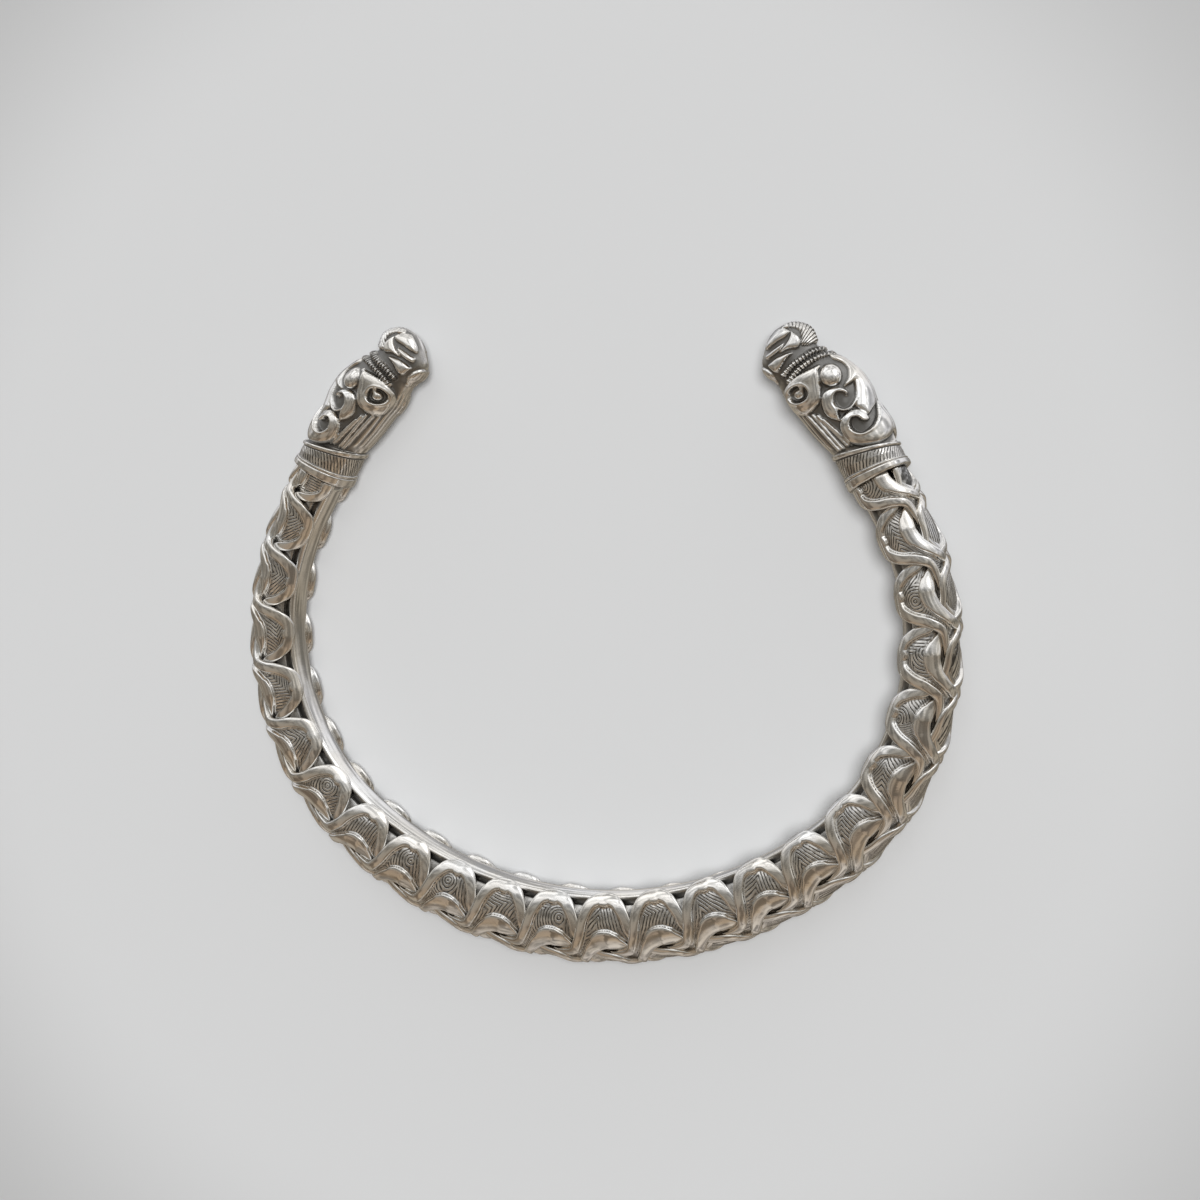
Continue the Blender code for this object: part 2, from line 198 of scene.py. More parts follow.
@dataclass(frozen=True)
class Bar:
    """The bent bar that the whole ring follows: its bore line and its oval section."""

    base_radius: float = 40.75
    base_half_length: float = 25.7
    shoulder_radius: float = 23.3
    shoulder_half_length: float = 59.3
    half_length: float = 63.1
    middle_thickness: float = 7.7
    end_thickness: float = 5.7
    middle_width: float = 6.9
    end_width: float = 6.2
    inner_squareness: float = 2.6
    tip_overhang: float = 0.35
    place: tuple[float, float, float] = (0.005, -25.289, 3.32)

    def swelling(self, s: np.ndarray) -> np.ndarray:
        """1 at the middle of the base, falling to 0 at the ends of the band."""
        return np.cos(0.5 * np.pi * np.clip(s / self.half_length, -1.0, 1.0)) ** 2

    def line(self, s: np.ndarray) -> tuple[np.ndarray, np.ndarray, np.ndarray]:
        """Place and heading of the bore line at a length from its middle.

        Args:
            s: Length along the bore line, below 0 on the left arm.

        Returns:
            x, y and the heading in radians at each length.
        """
        side = np.where(s < 0, -1.0, 1.0)
        length = np.abs(s)
        base = np.minimum(length, self.base_half_length) / self.base_radius
        bend = np.clip(length, self.base_half_length, self.shoulder_half_length)
        heading = base + (bend - self.base_half_length) / self.shoulder_radius
        straight = np.maximum(length - self.shoulder_half_length, 0)
        x = self.base_radius * np.sin(base) + straight * np.cos(heading)
        x = x + self.shoulder_radius * (np.sin(heading) - np.sin(base))
        y = self.base_radius * (1.0 - np.cos(base)) + straight * np.sin(heading)
        y = y + self.shoulder_radius * (np.cos(base) - np.cos(heading))
        return side * x, y, side * heading

    def point(self, s: np.ndarray, rho: np.ndarray, z: np.ndarray) -> np.ndarray:
        """Points in space beside the bore line.

        Args:
            s: Length along the bore line.
            rho: Distance outwards from it.
            z: Height over it.

        Returns:
            The points in millimetres, with x, y and z in the last axis.
        """
        x, y, heading = self.line(s)
        x, y, z = np.broadcast_arrays(x + rho * np.sin(heading), y - rho * np.cos(heading), z)
        return np.stack([x, y, z], -1) + np.array(self.place)

    def section(self, s: np.ndarray, angle: np.ndarray) -> tuple[np.ndarray, ...]:
        """Point and outward direction of the oval section at an angle from its outer side.

        Args:
            s: Length along the bore line.
            angle: Angle around the section, 0 at the outer side and half a turn at the bore.

        Returns:
            rho, z, and the outward direction's parts along rho and z.
        """
        swell = self.swelling(s)
        thickness = self.end_thickness + (self.middle_thickness - self.end_thickness) * swell
        half_width = 0.5 * (self.end_width + (self.middle_width - self.end_width) * swell)
        half = 0.5 * (thickness + self.tip_overhang)
        power = np.where(np.cos(angle) < 0, self.inner_squareness, 2.0)
        rho = half * signed_power(np.cos(angle), 2 / power)
        z = half_width * signed_power(np.sin(angle), 2 / power)
        slope_rho = signed_power(rho / half, power - 1) / half
        slope_z = signed_power(z / half_width, power - 1) / half_width
        size = np.hypot(slope_rho, slope_z)
        return rho + half - self.tip_overhang, z, slope_rho / size, slope_z / size

    def lifted(self, s: np.ndarray, angle: np.ndarray, height: np.ndarray) -> np.ndarray:
        """Points in millimetres at a height over the oval section."""
        rho, z, out_rho, out_z = self.section(s, angle)
        return self.point(s, rho + out_rho * height, z + out_z * height)

    def heading_at(self, s: float) -> Vector:
        """Direction in which s grows at a place on the bore line."""
        heading = float(self.line(np.array(s))[2])
        return Vector((math.cos(heading), math.sin(heading), 0.0))


@dataclass
class Skin:
    """A closed skin over a grid of points: its columns run round, its end rows are poles."""

    name: str
    points: np.ndarray
    marks: dict[str, np.ndarray] = field(default_factory=dict)
    floor: float = 0.0

    def make(self) -> bpy.types.Object:
        """Model the skin from a grid primitive.

        Returns:
            The new object, at the origin, with its marks as attributes of its points.
        """
        rows, columns = self.points.shape[:2]
        bpy.ops.object.select_all(action="DESELECT")
        bpy.ops.mesh.primitive_grid_add(x_subdivisions=rows - 1, y_subdivisions=columns, size=2)
        item = bpy.context.object
        item.name = self.name
        item.data.name = self.name
        spots = np.empty(len(item.data.vertices) * 3)
        item.data.vertices.foreach_get("co", spots)
        spots = spots.reshape(-1, 3)
        row = np.rint((spots[:, 0] + 1) / 2 * (rows - 1)).astype(int)
        column = np.rint((spots[:, 1] + 1) / 2 * columns).astype(int) % columns
        places = self.points[row, column] * MM
        places[:, 2] = np.maximum(places[:, 2], self.floor * MM)
        item.data.vertices.foreach_set("co", places.ravel())
        for mark, values in self.marks.items():
            attribute = item.data.attributes.new(mark, "FLOAT", "POINT")
            attribute.data.foreach_set("value", values[row, column].astype(np.float32))
        item.data.update()
        self.close(item)
        return item

    @staticmethod
    def close(item: bpy.types.Object) -> None:
        """Merge the seam and the poles, and point every face outwards.

        Args:
            item: The skin, which is the active object.
        """
        bpy.ops.object.mode_set(mode="EDIT")
        bpy.ops.mesh.select_all(action="SELECT")
        bpy.ops.mesh.remove_doubles(threshold=MERGE_DISTANCE)
        bpy.ops.mesh.select_all(action="SELECT")
        bpy.ops.mesh.normals_make_consistent(inside=False)
        bpy.ops.mesh.select_all(action="DESELECT")
        bpy.ops.object.mode_set(mode="OBJECT")
        bpy.ops.object.shade_smooth()


def cut_end(item: bpy.types.Object, point: Vector, outwards: Vector, reach: float) -> None:
    """Cut a piece off flat across one end and close the cut.

    Args:
        item: The piece.
        point: A point of the cut.
        outwards: The direction in which the piece is cut away.
        reach: Only faces this near the point are cut.
    """
    centres = np.empty(len(item.data.polygons) * 3)
    item.data.polygons.foreach_get("center", centres)
    near = np.linalg.norm(centres.reshape(-1, 3) - np.array(point), axis=1) < reach
    bpy.ops.object.select_all(action="DESELECT")
    item.select_set(True)
    bpy.context.view_layer.objects.active = item
    bpy.context.tool_settings.mesh_select_mode = (False, False, True)
    bpy.ops.object.mode_set(mode="EDIT")
    bpy.ops.mesh.select_all(action="DESELECT")
    bpy.ops.object.mode_set(mode="OBJECT")
    item.data.polygons.foreach_set("select", near)
    bpy.ops.object.mode_set(mode="EDIT")
    bpy.ops.mesh.bisect(plane_co=point, plane_no=outwards, use_fill=True, clear_outer=True)
    bpy.ops.mesh.select_all(action="SELECT")
    bpy.ops.mesh.normals_make_consistent(inside=False)
    bpy.ops.mesh.select_all(action="DESELECT")
    bpy.ops.object.mode_set(mode="OBJECT")


@dataclass(frozen=True)
class Face:
    """A strand's face over one pass, as a grid of rows along and columns across."""

    turn: np.ndarray
    share: np.ndarray
    along: np.ndarray
    around: np.ndarray
    height_over: np.ndarray
    height_under: np.ndarray
    panel: np.ndarray


@dataclass(frozen=True)
class Hollows:
    """How deep a point of the plait lies below the mean of its surroundings, which sets how much
    tarnish and painted shade darken it.
    """

    mean: np.ndarray

    def depth(self, along: np.ndarray, around: np.ndarray, height: np.ndarray) -> np.ndarray:
        """Depth below the surroundings.

        Args:
            along: Share of an arch along the bar.
            around: Degrees around the bar.
            height: Height of each point over the bar's section.

        Returns:
            The depth of each point, which is above 0 in a hollow.
        """
        rows, columns = self.mean.shape
        row = np.floor(along * rows).astype(int) % rows
        column = np.floor(around / 360.0 % 1.0 * columns).astype(int) % columns
        return self.mean[row, column] - height


@dataclass(frozen=True)
class PanelLines:
    """The engraver's lines on a panel: fans of arcs, each with its turn and lateness."""

    lean: float = 0.9
    jitter: float = 0.3
    fans: tuple = ((0.0, 0.0), (0.6 * math.pi, 0.9))
    radii: tuple[float, float] = (7.0, 20.0)
    lateness: tuple[float, float] = (0.3, 2.0)
    whorl_across: float = 0.8
    whorl_up: float = 1.2
    whorl_radii: tuple[float, float] = (1.2, 2.2)
    whorl_chance: float = 0.35

    def distances(self, x: np.ndarray, y: np.ndarray, chance: np.random.Generator) -> np.ndarray:
        """Distances that draw one panel's fans of lines, and its whorl if it has one.

        Args:
            x: Length along the bar from the panel's middle.
            y: Length around the bar from the panel's middle.
            chance: Where the panel's own angles and places come from.

        Returns:
            A distance whose level lines are evenly spaced arcs that meet in creases.
        """
        lines = np.full(x.shape, np.inf)
        start = chance.uniform(-self.lean, self.lean)
        for turn, late in self.fans:
            angle = start + turn + chance.uniform(-self.jitter, self.jitter)
            far = chance.uniform(*self.radii)
            gap = np.hypot(x - far * math.cos(angle), y - far * math.sin(angle)) - far
            lines = np.minimum(lines, gap + late * chance.uniform(*self.lateness))
        across = chance.uniform(-self.whorl_across, self.whorl_across)
        up = chance.uniform(-self.whorl_up, self.whorl_up)
        reach = chance.uniform(*self.whorl_radii)
        if chance.random() < self.whorl_chance:
            lines = np.minimum(lines, np.hypot(x - across, y - up) - reach)
        return lines


class SubAssembly:
    """A part of the ring that models its own pieces and dresses them."""

    @staticmethod
    def dress(piece: bpy.types.Object, finish: bpy.types.Material,
              node: str) -> bpy.types.Object:
        """Give a piece its finish, its body and the node that it stands for.

        Args:
            piece: The modelled piece.
            finish: The material that covers it.
            node: The frame's node that it stands for.

        Returns:
            The same piece.
        """
        piece.data.materials.clear()
        piece.data.materials.append(finish)
        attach(piece, "root")
        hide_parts(node)
        return piece


@dataclass(frozen=True)
class Plait(SubAssembly):
    """The four flat strands, all of one form, and how each passes the others."""

    bar: Bar
    strands: int = 4
    arch_pitch: float = 5.473
    thickness: float = 0.98
    crossing_drop: float = 0.65
    crossing_rise: float = 0.05
    tip_lift: float = 0.08
    core_depth: float = 1.05
    rim_step: float = 0.34
    rim_rounding: float = 0.2
    rounding_width: float = 0.24
    rim_crown: float = 0.05
    rim_slope: tuple[float, float] = (0.11, 0.09)
    crescent_turns: tuple[float, float] = (1.25, 1.95)
    crescent_fall: float = 0.34
    panel_crease: float = 0.08
    crease_width: float = 0.18
    panel_fade: tuple[float, float] = (0.07, 0.2)
    panel_tarnish: float = 0.3
    # Hollows among the strands are darkened with tarnish and with painted shade, up to this deepest
    # share.
    deepest_tarnish_and_shade: float = 0.62
    hollow_start: float = 0.05
    hollow_range: float = 0.6
    hollow_grid: tuple[int, int] = (90, 240)
    hollow_spread: tuple[float, float] = (4.5, 3.4)
    hollow_samples: tuple[int, int] = (700, 160)
    panel_lines: PanelLines = PanelLines()
    hatch_pitch: float = 0.29
    first_seed: int = 20
    panel_middle: float = 5.9
    panel_reach: float = 4.4
    skin_per_degree: float = 0.062
    farthest_degree: float = 240.0
    rows_per_pass: int = 112
    face_samples: int = 141
    edge_columns: tuple = (0.0, 0.03, 0.07, 0.13, 0.24)
    step_columns: tuple = (-0.12, -0.06, -0.02, 0.02, 0.07, 0.16, 0.3)
    rim_spaces: int = 6
    panel_spaces: int = 18
    under_columns: int = 5
    curve_steps: int = 16
    fine_curve_steps: int = 40
    rim_curve_steps: int = 12
    neighbour_stretches: int = 7
    first_tip: int = -8
    passes: int = 18
    middle_tip: float = 12.5
    end: float = 63.32
    spare_length: float = 4.0
    cut_middle: float = 3.0
    cut_reach: float = 9.0
    edge: tuple = (
        (0.00, 154), (0.10, 152.5), (0.20, 149), (0.30, 140), (0.37, 129), (0.45, 110),
        (0.51, 92), (0.56, 76), (0.66, 57), (0.88, 49), (1.08, 46), (1.27, 36), (1.45, 10),
        (1.55, -10), (1.63, -27), (1.78, -46), (1.90, -53), (2.00, -56),
    )
    anchors: tuple = (0, 7, 11, 14, 17)
    turns: tuple = (0.0, 0.5, 1.0, 1.5, 2.0)
    rim_widths: tuple = (
        (-0.2, 1.42), (0.0, 1.75), (0.2, 1.42), (0.4, 1.02), (0.75, 0.86), (1.0, 0.8), (1.25, 0.85),
        (1.5, 0.95), (1.65, 1.15), (1.8, 1.65), (1.9, 1.93), (2.0, 2.02), (2.1, 1.93),
    )

    def edge_curve(self) -> tuple[np.ndarray, np.ndarray]:
        """The high edge of a pass with a stretch of the passes before and after it.

        Returns:
            Points as arches along and degrees around, and the turn at each.
        """
        steps = self.curve_steps
        curve = smooth_curve(self.edge, (len(self.edge) - 1) * steps + 1)
        turn = np.interp(np.arange(len(curve)), np.array(self.anchors) * steps, self.turns)
        more = self.neighbour_stretches * steps
        before = curve[more:0:-1] * [-1, 1]
        after = curve[-2:-more - 2:-1] * [-1, 1] + 2 * FAR_TIP
        curve = np.vstack([before, curve, after])
        return curve, np.concatenate([turn[more:0:-1], turn, turn[-2:-more - 2:-1]])

    def edges(self, turn: np.ndarray) -> tuple[np.ndarray, np.ndarray]:
        """Both edges of a strand, for turns from 0 at a near tip to 2 at a far tip.

        Args:
            turn: How far along the pass each row is.

        Returns:
            The high edge and the low edge, as arches along and degrees around.
        """
        steps = self.fine_curve_steps
        curve = smooth_curve(self.edge, (len(self.edge) - 1) * steps + 1)
        index = np.arange(len(curve))
        anchors = np.array(self.anchors) * steps
        one = np.interp(turn, self.turns, anchors)
        two = np.interp(2.0 - turn, self.turns, anchors)
        high = np.stack([np.interp(one, index, curve[:, k]) for k in (0, 1)], -1)
        low = np.stack([np.interp(two, index, curve[:, k]) for k in (0, 1)], -1)
        return high, FAR_TIP - low

    def unrolled(self, places: np.ndarray) -> np.ndarray:
        """Points of the plait as lengths on the bar's unrolled skin.

        Args:
            places: Arches along and degrees around, in the last axis.

        Returns:
            Lengths along and around, in the last axis.
        """
        degrees = np.arange(self.farthest_degree + 1)
        rho, z, _, _ = self.bar.section(np.array(0.5 * self.bar.half_length), np.radians(degrees))
        lengths = path_lengths(np.column_stack([rho, z]))
        around = np.interp(np.abs(places[..., 1]), degrees, lengths) * np.sign(places[..., 1])
        return np.stack([places[..., 0] * self.arch_pitch, around], -1)

    def edge_gaps(self, places: np.ndarray) -> tuple[np.ndarray, ...]:
        """Distance of points from both edges, and the turn of each edge where it is nearest.

        Args:
            places: Arches along and degrees around, one row each.

        Returns:
            Distance from the high edge and its turn, then the same for the low edge.
        """
        curve, turn = self.edge_curve()
        path = self.unrolled(curve)
        found = []
        for point in (places, FAR_TIP - places):
            gap, place = path_distance(self.unrolled(point), path)
            found += [gap, np.interp(place, np.arange(len(turn)), turn)]
        return tuple(found)

    def rim_width(self, turn: np.ndarray) -> np.ndarray:
        """Width of the rim along an edge, by the edge's own turn."""
        count = self.rim_curve_steps * len(self.rim_widths)
        return np.interp(turn, *smooth_curve(self.rim_widths, count).T)

    def rim(self, turn: np.ndarray, inwards: np.ndarray) -> np.ndarray:
        """Height of one edge's raised rim over the sunk panel.

        Args:
            turn: The edge's own turn where it is nearest.
            inwards: Distance from the edge.

        Returns:
            The height at each point.
        """
        wide = self.rim_width(turn)
        crescent = eased(turn, *self.crescent_turns)
        share = np.clip(inwards / wide, 0, 1)
        crown = self.rim_crown * np.sin(np.pi * share) * (1 - crescent)
        fall = crescent * self.crescent_fall * (1 - share) ** 2
        edge = self.rim_rounding * (1 - rounded(inwards / self.rounding_width))
        before, after = self.rim_slope
        inside = 1 - eased(inwards, wide - before, wide + after)
        beyond = np.clip(inwards - wide, 0, None)
        crease = self.panel_crease * np.exp(-beyond / self.crease_width)
        return inside * (self.rim_step + crown - fall) - edge - (1 - inside) * crease

    def lie(self, turn: np.ndarray, over: bool) -> np.ndarray:
        """Height of a strand's rims where it passes over or under its neighbours.

        Args:
            turn: How far along the pass each row is.
            over: Whether the pass is on the near side.

        Returns:
            The height at each row.
        """
        crossing = -self.crossing_drop if over else self.crossing_rise
        middle = 0.0 if over else -self.crossing_drop
        rest = np.where(np.abs(turn - 1) > 0.5, self.tip_lift, middle)
        return crossing + (rest - crossing) * (0.5 + 0.5 * np.cos(2 * np.pi * turn))

    def relief(self, gaps: tuple[np.ndarray, ...]) -> np.ndarray:
        """Height of the face's own relief below the tops of its rims."""
        high, high_turn, low, low_turn = gaps
        return self.rim(high_turn, high) + self.rim(low_turn, low) - self.rim_step

    def heights(self, rows: int, columns: int) -> np.ndarray:
        """Heights of the whole plait over one arch.

        Args:
            rows: How many rows lie along the arch.
            columns: How many columns run around the bar.

        Returns:
            The height of the top of the plait in each cell.
        """
        samples = zip((2, 1), self.hollow_samples)
        turns, shares = (np.linspace(0, last, count) for last, count in samples)
        turn, share = (grid.ravel() for grid in np.meshgrid(turns, shares, indexing="ij"))
        high, low = self.edges(turn)
        place = high + (low - high) * share[:, None]
        relief = self.relief(self.edge_gaps(place))
        result = np.full((rows, columns), -self.core_depth)
        row = np.floor(place[:, 0] % 1.0 * rows).astype(int) % rows
        for over, side in ((True, 1.0), (False, -1.0)):
            column = np.floor(side * place[:, 1] / 360.0 % 1.0 * columns).astype(int) % columns
            np.maximum.at(result, (row, column), self.lie(turn, over) + relief)
        return result

    def hollows(self) -> Hollows:
        """The plait's heights, blurred, to tell how deep a point lies among its neighbours."""
        return Hollows(softened(self.heights(*self.hollow_grid), *self.hollow_spread, True))

    def face(self) -> Face:
        """The face of one pass.

        Returns:
            The face, with columns that follow its rims.
        """
        turn = np.arange(self.rows_per_pass) * 2.0 / self.rows_per_pass
        shares = np.linspace(0, 1, self.face_samples)
        high, low = self.edges(turn)
        place = high[:, None] + (low - high)[:, None] * shares[:, None]
        gaps = [part.reshape(place.shape[:2]) for part in self.edge_gaps(place.reshape(-1, 2))]
        share = np.array([self.columns(shares, *row) for row in zip(*gaps)])
        place = high[:, None] + (low - high)[:, None] * share[..., None]
        gaps = [part.reshape(share.shape) for part in self.edge_gaps(place.reshape(-1, 2))]
        relief = self.relief(tuple(gaps))
        panel = eased(gaps[0] - self.rim_width(gaps[1]), *self.panel_fade)
        panel = panel * eased(gaps[2] - self.rim_width(gaps[3]), *self.panel_fade)
        over, under = (relief + self.lie(turn, above)[:, None] for above in (True, False))
        return Face(turn, share, place[..., 0], place[..., 1], over, under, panel)

    def columns(self, shares: np.ndarray, high: np.ndarray, high_turn: np.ndarray,
                low: np.ndarray, low_turn: np.ndarray) -> np.ndarray:
        """Shares of the width where one row has its columns.

        Args:
            shares: Evenly spread shares.
            high: Distance from the high edge at each share.
            high_turn: The high edge's turn where it is nearest.
            low: Distance from the low edge at each share.
            low_turn: The low edge's turn where it is nearest.

        Returns:
            The shares, denser at the edges and at the rims' steps.
        """
        growth = np.arange(len(shares)) * TINY_STEP
        sides = []
        for gap, turn in ((high, high_turn), (low[::-1], low_turn[::-1])):
            gap = np.maximum.accumulate(gap) + growth
            past = np.maximum.accumulate(gap - self.rim_width(turn)) + growth
            first = np.interp(self.edge_columns, gap, shares)
            last = np.interp(self.step_columns, past, shares)
            spaces = np.linspace(0, 1, self.rim_spaces + 1)[1:-1]
            between = first[-1] + (last[0] - first[-1]) * spaces
            sides.append(np.concatenate([first, between, last]))
        one, two = sides[0], 1 - sides[1]
        middle = 0.5 * (min(one[-1], two[-1]) + max(one[-1], two[-1]))
        if one[-1] > two[-1]:
            one, two = np.minimum(one, middle), np.maximum(two, middle)
        panel = one[-1] + (two[-1] - one[-1]) * np.linspace(0, 1, self.panel_spaces + 1)[1:-1]
        return np.concatenate([one, panel, two[::-1]])

    def strand(self, number: int, face: Face, hollows: Hollows) -> bpy.types.Object:
        """Model one strand from collar to collar.

        Args:
            number: Which of the four strands, counted from 0.
            face: The face of one pass.
            hollows: How deep the plait lies around each point.

        Returns:
            The strand, cut flat where it meets the collars.
        """
        travel = np.arange(0, self.passes * self.rows_per_pass)
        passes, row = np.divmod(travel, self.rows_per_pass)
        tip = number + self.first_tip + 2 * passes
        over = (passes % 2 == 0)[:, None]
        middle = (tip + face.turn[row] - self.middle_tip) * self.arch_pitch
        kept = np.abs(middle) < self.end + self.spare_length
        row, tip, over = row[kept], tip[kept], over[kept]
        high, low = self.edges(face.turn[row])
        lower = self.under_columns
        below = high[:, None] + (low - high)[:, None] * np.linspace(1, 0, lower)[:, None]
        columns = face.share.shape[1]
        along = np.concatenate([face.along[row], below[..., 0]], axis=1)
        around = np.concatenate([face.around[row], below[..., 1]], axis=1)
        top = np.where(over, face.height_over[row], face.height_under[row])
        lie = np.where(over[:, 0], self.lie(face.turn[row], True), self.lie(face.turn[row], False))
        bottom = np.repeat(lie[:, None] - self.thickness, lower, axis=1)
        height = np.concatenate([top, bottom], axis=1)
        panel = np.concatenate([face.panel[row], np.zeros((len(row), lower))], axis=1)
        turned = np.concatenate([np.arange(columns)[::-1], columns + np.arange(lower)[::-1]])
        along, around, height, panel = (
            np.where(over, part, part[:, turned]) for part in (along, around, height, panel))
        around = np.where(over, around, -around)
        along = along + tip[:, None] - self.middle_tip
        points = self.bar.lifted(along * self.arch_pitch, np.radians(around), height)
        points[0] = points[0].mean(axis=0)
        points[-1] = points[-1].mean(axis=0)
        depth = hollows.depth(along + 0.5, around, height)
        # Deeper hollows get more tarnish and more painted shade; the panels get their tarnish as
        # well.
        deep = (depth - self.hollow_start) / self.hollow_range
        marks = {
            "shade_and_tarnish": np.clip(deep + self.panel_tarnish * panel, 0, self.deepest_tarnish_and_shade),
            "engraved": panel,
            "grain": self.hatching(along * self.arch_pitch, around, number),
        }
        item = Skin(f"strand_{number + 1}", points, marks).make()
        for side in (-1, 1):
            end = np.array(side * self.end)
            point = Vector(self.bar.point(end, np.array(self.cut_middle), np.array(0.0)) * MM)
            outwards = self.bar.heading_at(side * self.end) * side
            cut_end(item, point, outwards, self.cut_reach * MM)
        return item

    def dressed(self, hollows: Hollows, finish: bpy.types.Material) -> list[bpy.types.Object]:
        """Model and dress the strands.

        Args:
            hollows: How deep the plait lies around each point.
            finish: The material that covers them.

        Returns:
            The strands in order.
        """
        face = self.face()
        return [self.dress(self.strand(number, face, hollows), finish, "band")
                for number in range(self.strands)]

    def hatching(self, s: np.ndarray, around: np.ndarray, number: int) -> np.ndarray:
        """Phase of the engraver's lines, evenly spaced on every panel of a strand.

        Args:
            s: Length along the bar of each point.
            around: Degrees around the bar of each point.
            number: Which strand, so that each has lines of its own.

        Returns:
            The phase in lines, one number for each point.
        """
        chance = np.random.default_rng(self.first_seed + number)
        best = np.full(s.shape, np.inf)
        for turn in range(self.passes):
            side = 1 if turn % 2 == 0 else -1
            at = (number + self.first_tip + 2 * turn - self.middle_tip) * self.arch_pitch
            x, y = s - at, side * around * self.skin_per_degree - self.panel_middle
            beyond = np.clip(np.hypot(x, y) - self.panel_reach, 0, None)
            best = np.minimum(best, self.panel_lines.distances(x, y, chance) + beyond)
        return best / self.hatch_pitch


@dataclass(frozen=True)
class Core(SubAssembly):
    """The core under the plait: its smooth inner strip, its grooves and its two tenons."""

    bar: Bar
    depth: float = 1.05
    strip_half_width: float = 2.2
    strip_depth: float = 0.05
    strip_crown: float = 1.0
    strip_cosine: float = -0.5
    strip_tarnish: float = 0.12
    strip_edge: tuple[float, float] = (0.85, 1.0)
    strip_edge_tarnish: float = 0.8
    # The core seen between the strands is darkened with tarnish and painted shade, and the grooves
    # beside the strip with painted shade.
    hollow_range: float = 0.5
    hollow_shade_and_tarnish: tuple[float, float] = (0.5, 0.7)
    groove: float = 0.55
    groove_offset: float = 0.18
    groove_width: float = 0.2
    groove_shade: float = 2.0
    tenon_inner_depth: float = 0.85
    tenon_shoulder: float = 0.2
    tenon_length: float = 2.8
    rows: int = 210
    side_degrees: tuple[float, float, float] = (-138, 139, 6.0)
    strip_degrees: tuple[float, float, float] = (140, 220.1, 1.4)

    def tenon_centre(self) -> float:
        """Distance of the tenons' axis from the bore line."""
        return 0.5 * (self.bar.end_thickness - self.depth + self.tenon_inner_depth)

    def tenon_radius(self) -> float:
        """Radius of the tenons."""
        span = self.bar.end_thickness - self.depth - self.tenon_inner_depth
        return 0.5 * span - self.tenon_shoulder

    def make(self, hollows: Hollows, arch_pitch: float) -> bpy.types.Object:
        """Model the core from one tenon's end to the other's.

        Args:
            hollows: How deep the plait lies around each point.
            arch_pitch: Distance between the plait's arches.

        Returns:
            The core.
        """
        degrees = np.concatenate([np.arange(*self.side_degrees), np.arange(*self.strip_degrees)])
        turn = np.radians(degrees)
        angle = turn[None, :]
        s = np.linspace(-self.bar.half_length, self.bar.half_length, self.rows)[:, None]
        rho, z, out_rho, out_z = self.bar.section(s, angle)
        inner = np.cos(angle) < self.strip_cosine
        across = np.abs(z) / self.strip_half_width
        on_strip = (across < 1) & inner
        crown = self.strip_crown * (1 - rounded(1 - across))
        floor = (self.strip_depth + crown - rho) / np.minimum(out_rho, self.strip_cosine)
        height = np.where(on_strip, floor, -self.depth)
        gap = (np.abs(z) - self.strip_half_width - self.groove_offset) / self.groove_width
        groove = np.where(inner, self.groove * np.exp(-(gap**2)), 0.0)
        height = height - groove
        rings = self.bar.point(s, rho + out_rho * height, z + out_z * height)
        span = self.bar.half_length + self.tenon_length
        before, after = [], []
        for side, rows in ((-1, before), (1, after)):
            for place in (self.bar.half_length, span):
                rows.append(self.round_row(side * place, turn))
            rows.append(np.broadcast_to(rows[-1].mean(axis=0), rows[-1].shape))
        points = np.concatenate([np.array(before[::-1]), rings, np.array(after)])
        along = s / arch_pitch + 0.5
        around = np.broadcast_to(degrees[None, :], z.shape)
        # Painted shade with tarnish on the core under the strands, painted shade in the grooves;
        # the tenons' rows, hidden in the sockets, are fully dark.
        deep = np.clip(hollows.depth(along, around, height) / self.hollow_range, 0, 1)
        worn = self.strip_tarnish + eased(across, *self.strip_edge) * self.strip_edge_tarnish
        deep = np.where(on_strip, worn, np.clip(deep, *self.hollow_shade_and_tarnish))
        shade_and_tarnish = np.ones(points.shape[:2])
        shade_and_tarnish[len(before):-len(after)] = np.maximum(deep, groove * self.groove_shade)
        blank = np.zeros(points.shape[:2])
        marks = {"shade_and_tarnish": shade_and_tarnish, "engraved": blank, "grain": blank}
        return Skin("core", points, marks).make()

    def dressed(self, hollows: Hollows, arch_pitch: float,
                finish: bpy.types.Material) -> bpy.types.Object:
        """Model the core and dress it."""
        return self.dress(self.make(hollows, arch_pitch), finish, "band")

    def round_row(self, s: float, turn: np.ndarray) -> np.ndarray:
        """A ring of points around the tenons' axis."""
        rho = self.tenon_centre() + self.tenon_radius() * np.cos(turn)
        return self.bar.point(np.array(s), rho, self.tenon_radius() * np.sin(turn))


@dataclass(frozen=True)
class Bead:
    """A small round ridge beside an outline."""

    rise: float
    inset: float
    width: float

    def height(self, gap: np.ndarray) -> np.ndarray:
        """Height of the ridge at a distance from the outline."""
        return self.rise * np.exp(-(((gap - self.inset) / self.width) ** 2))


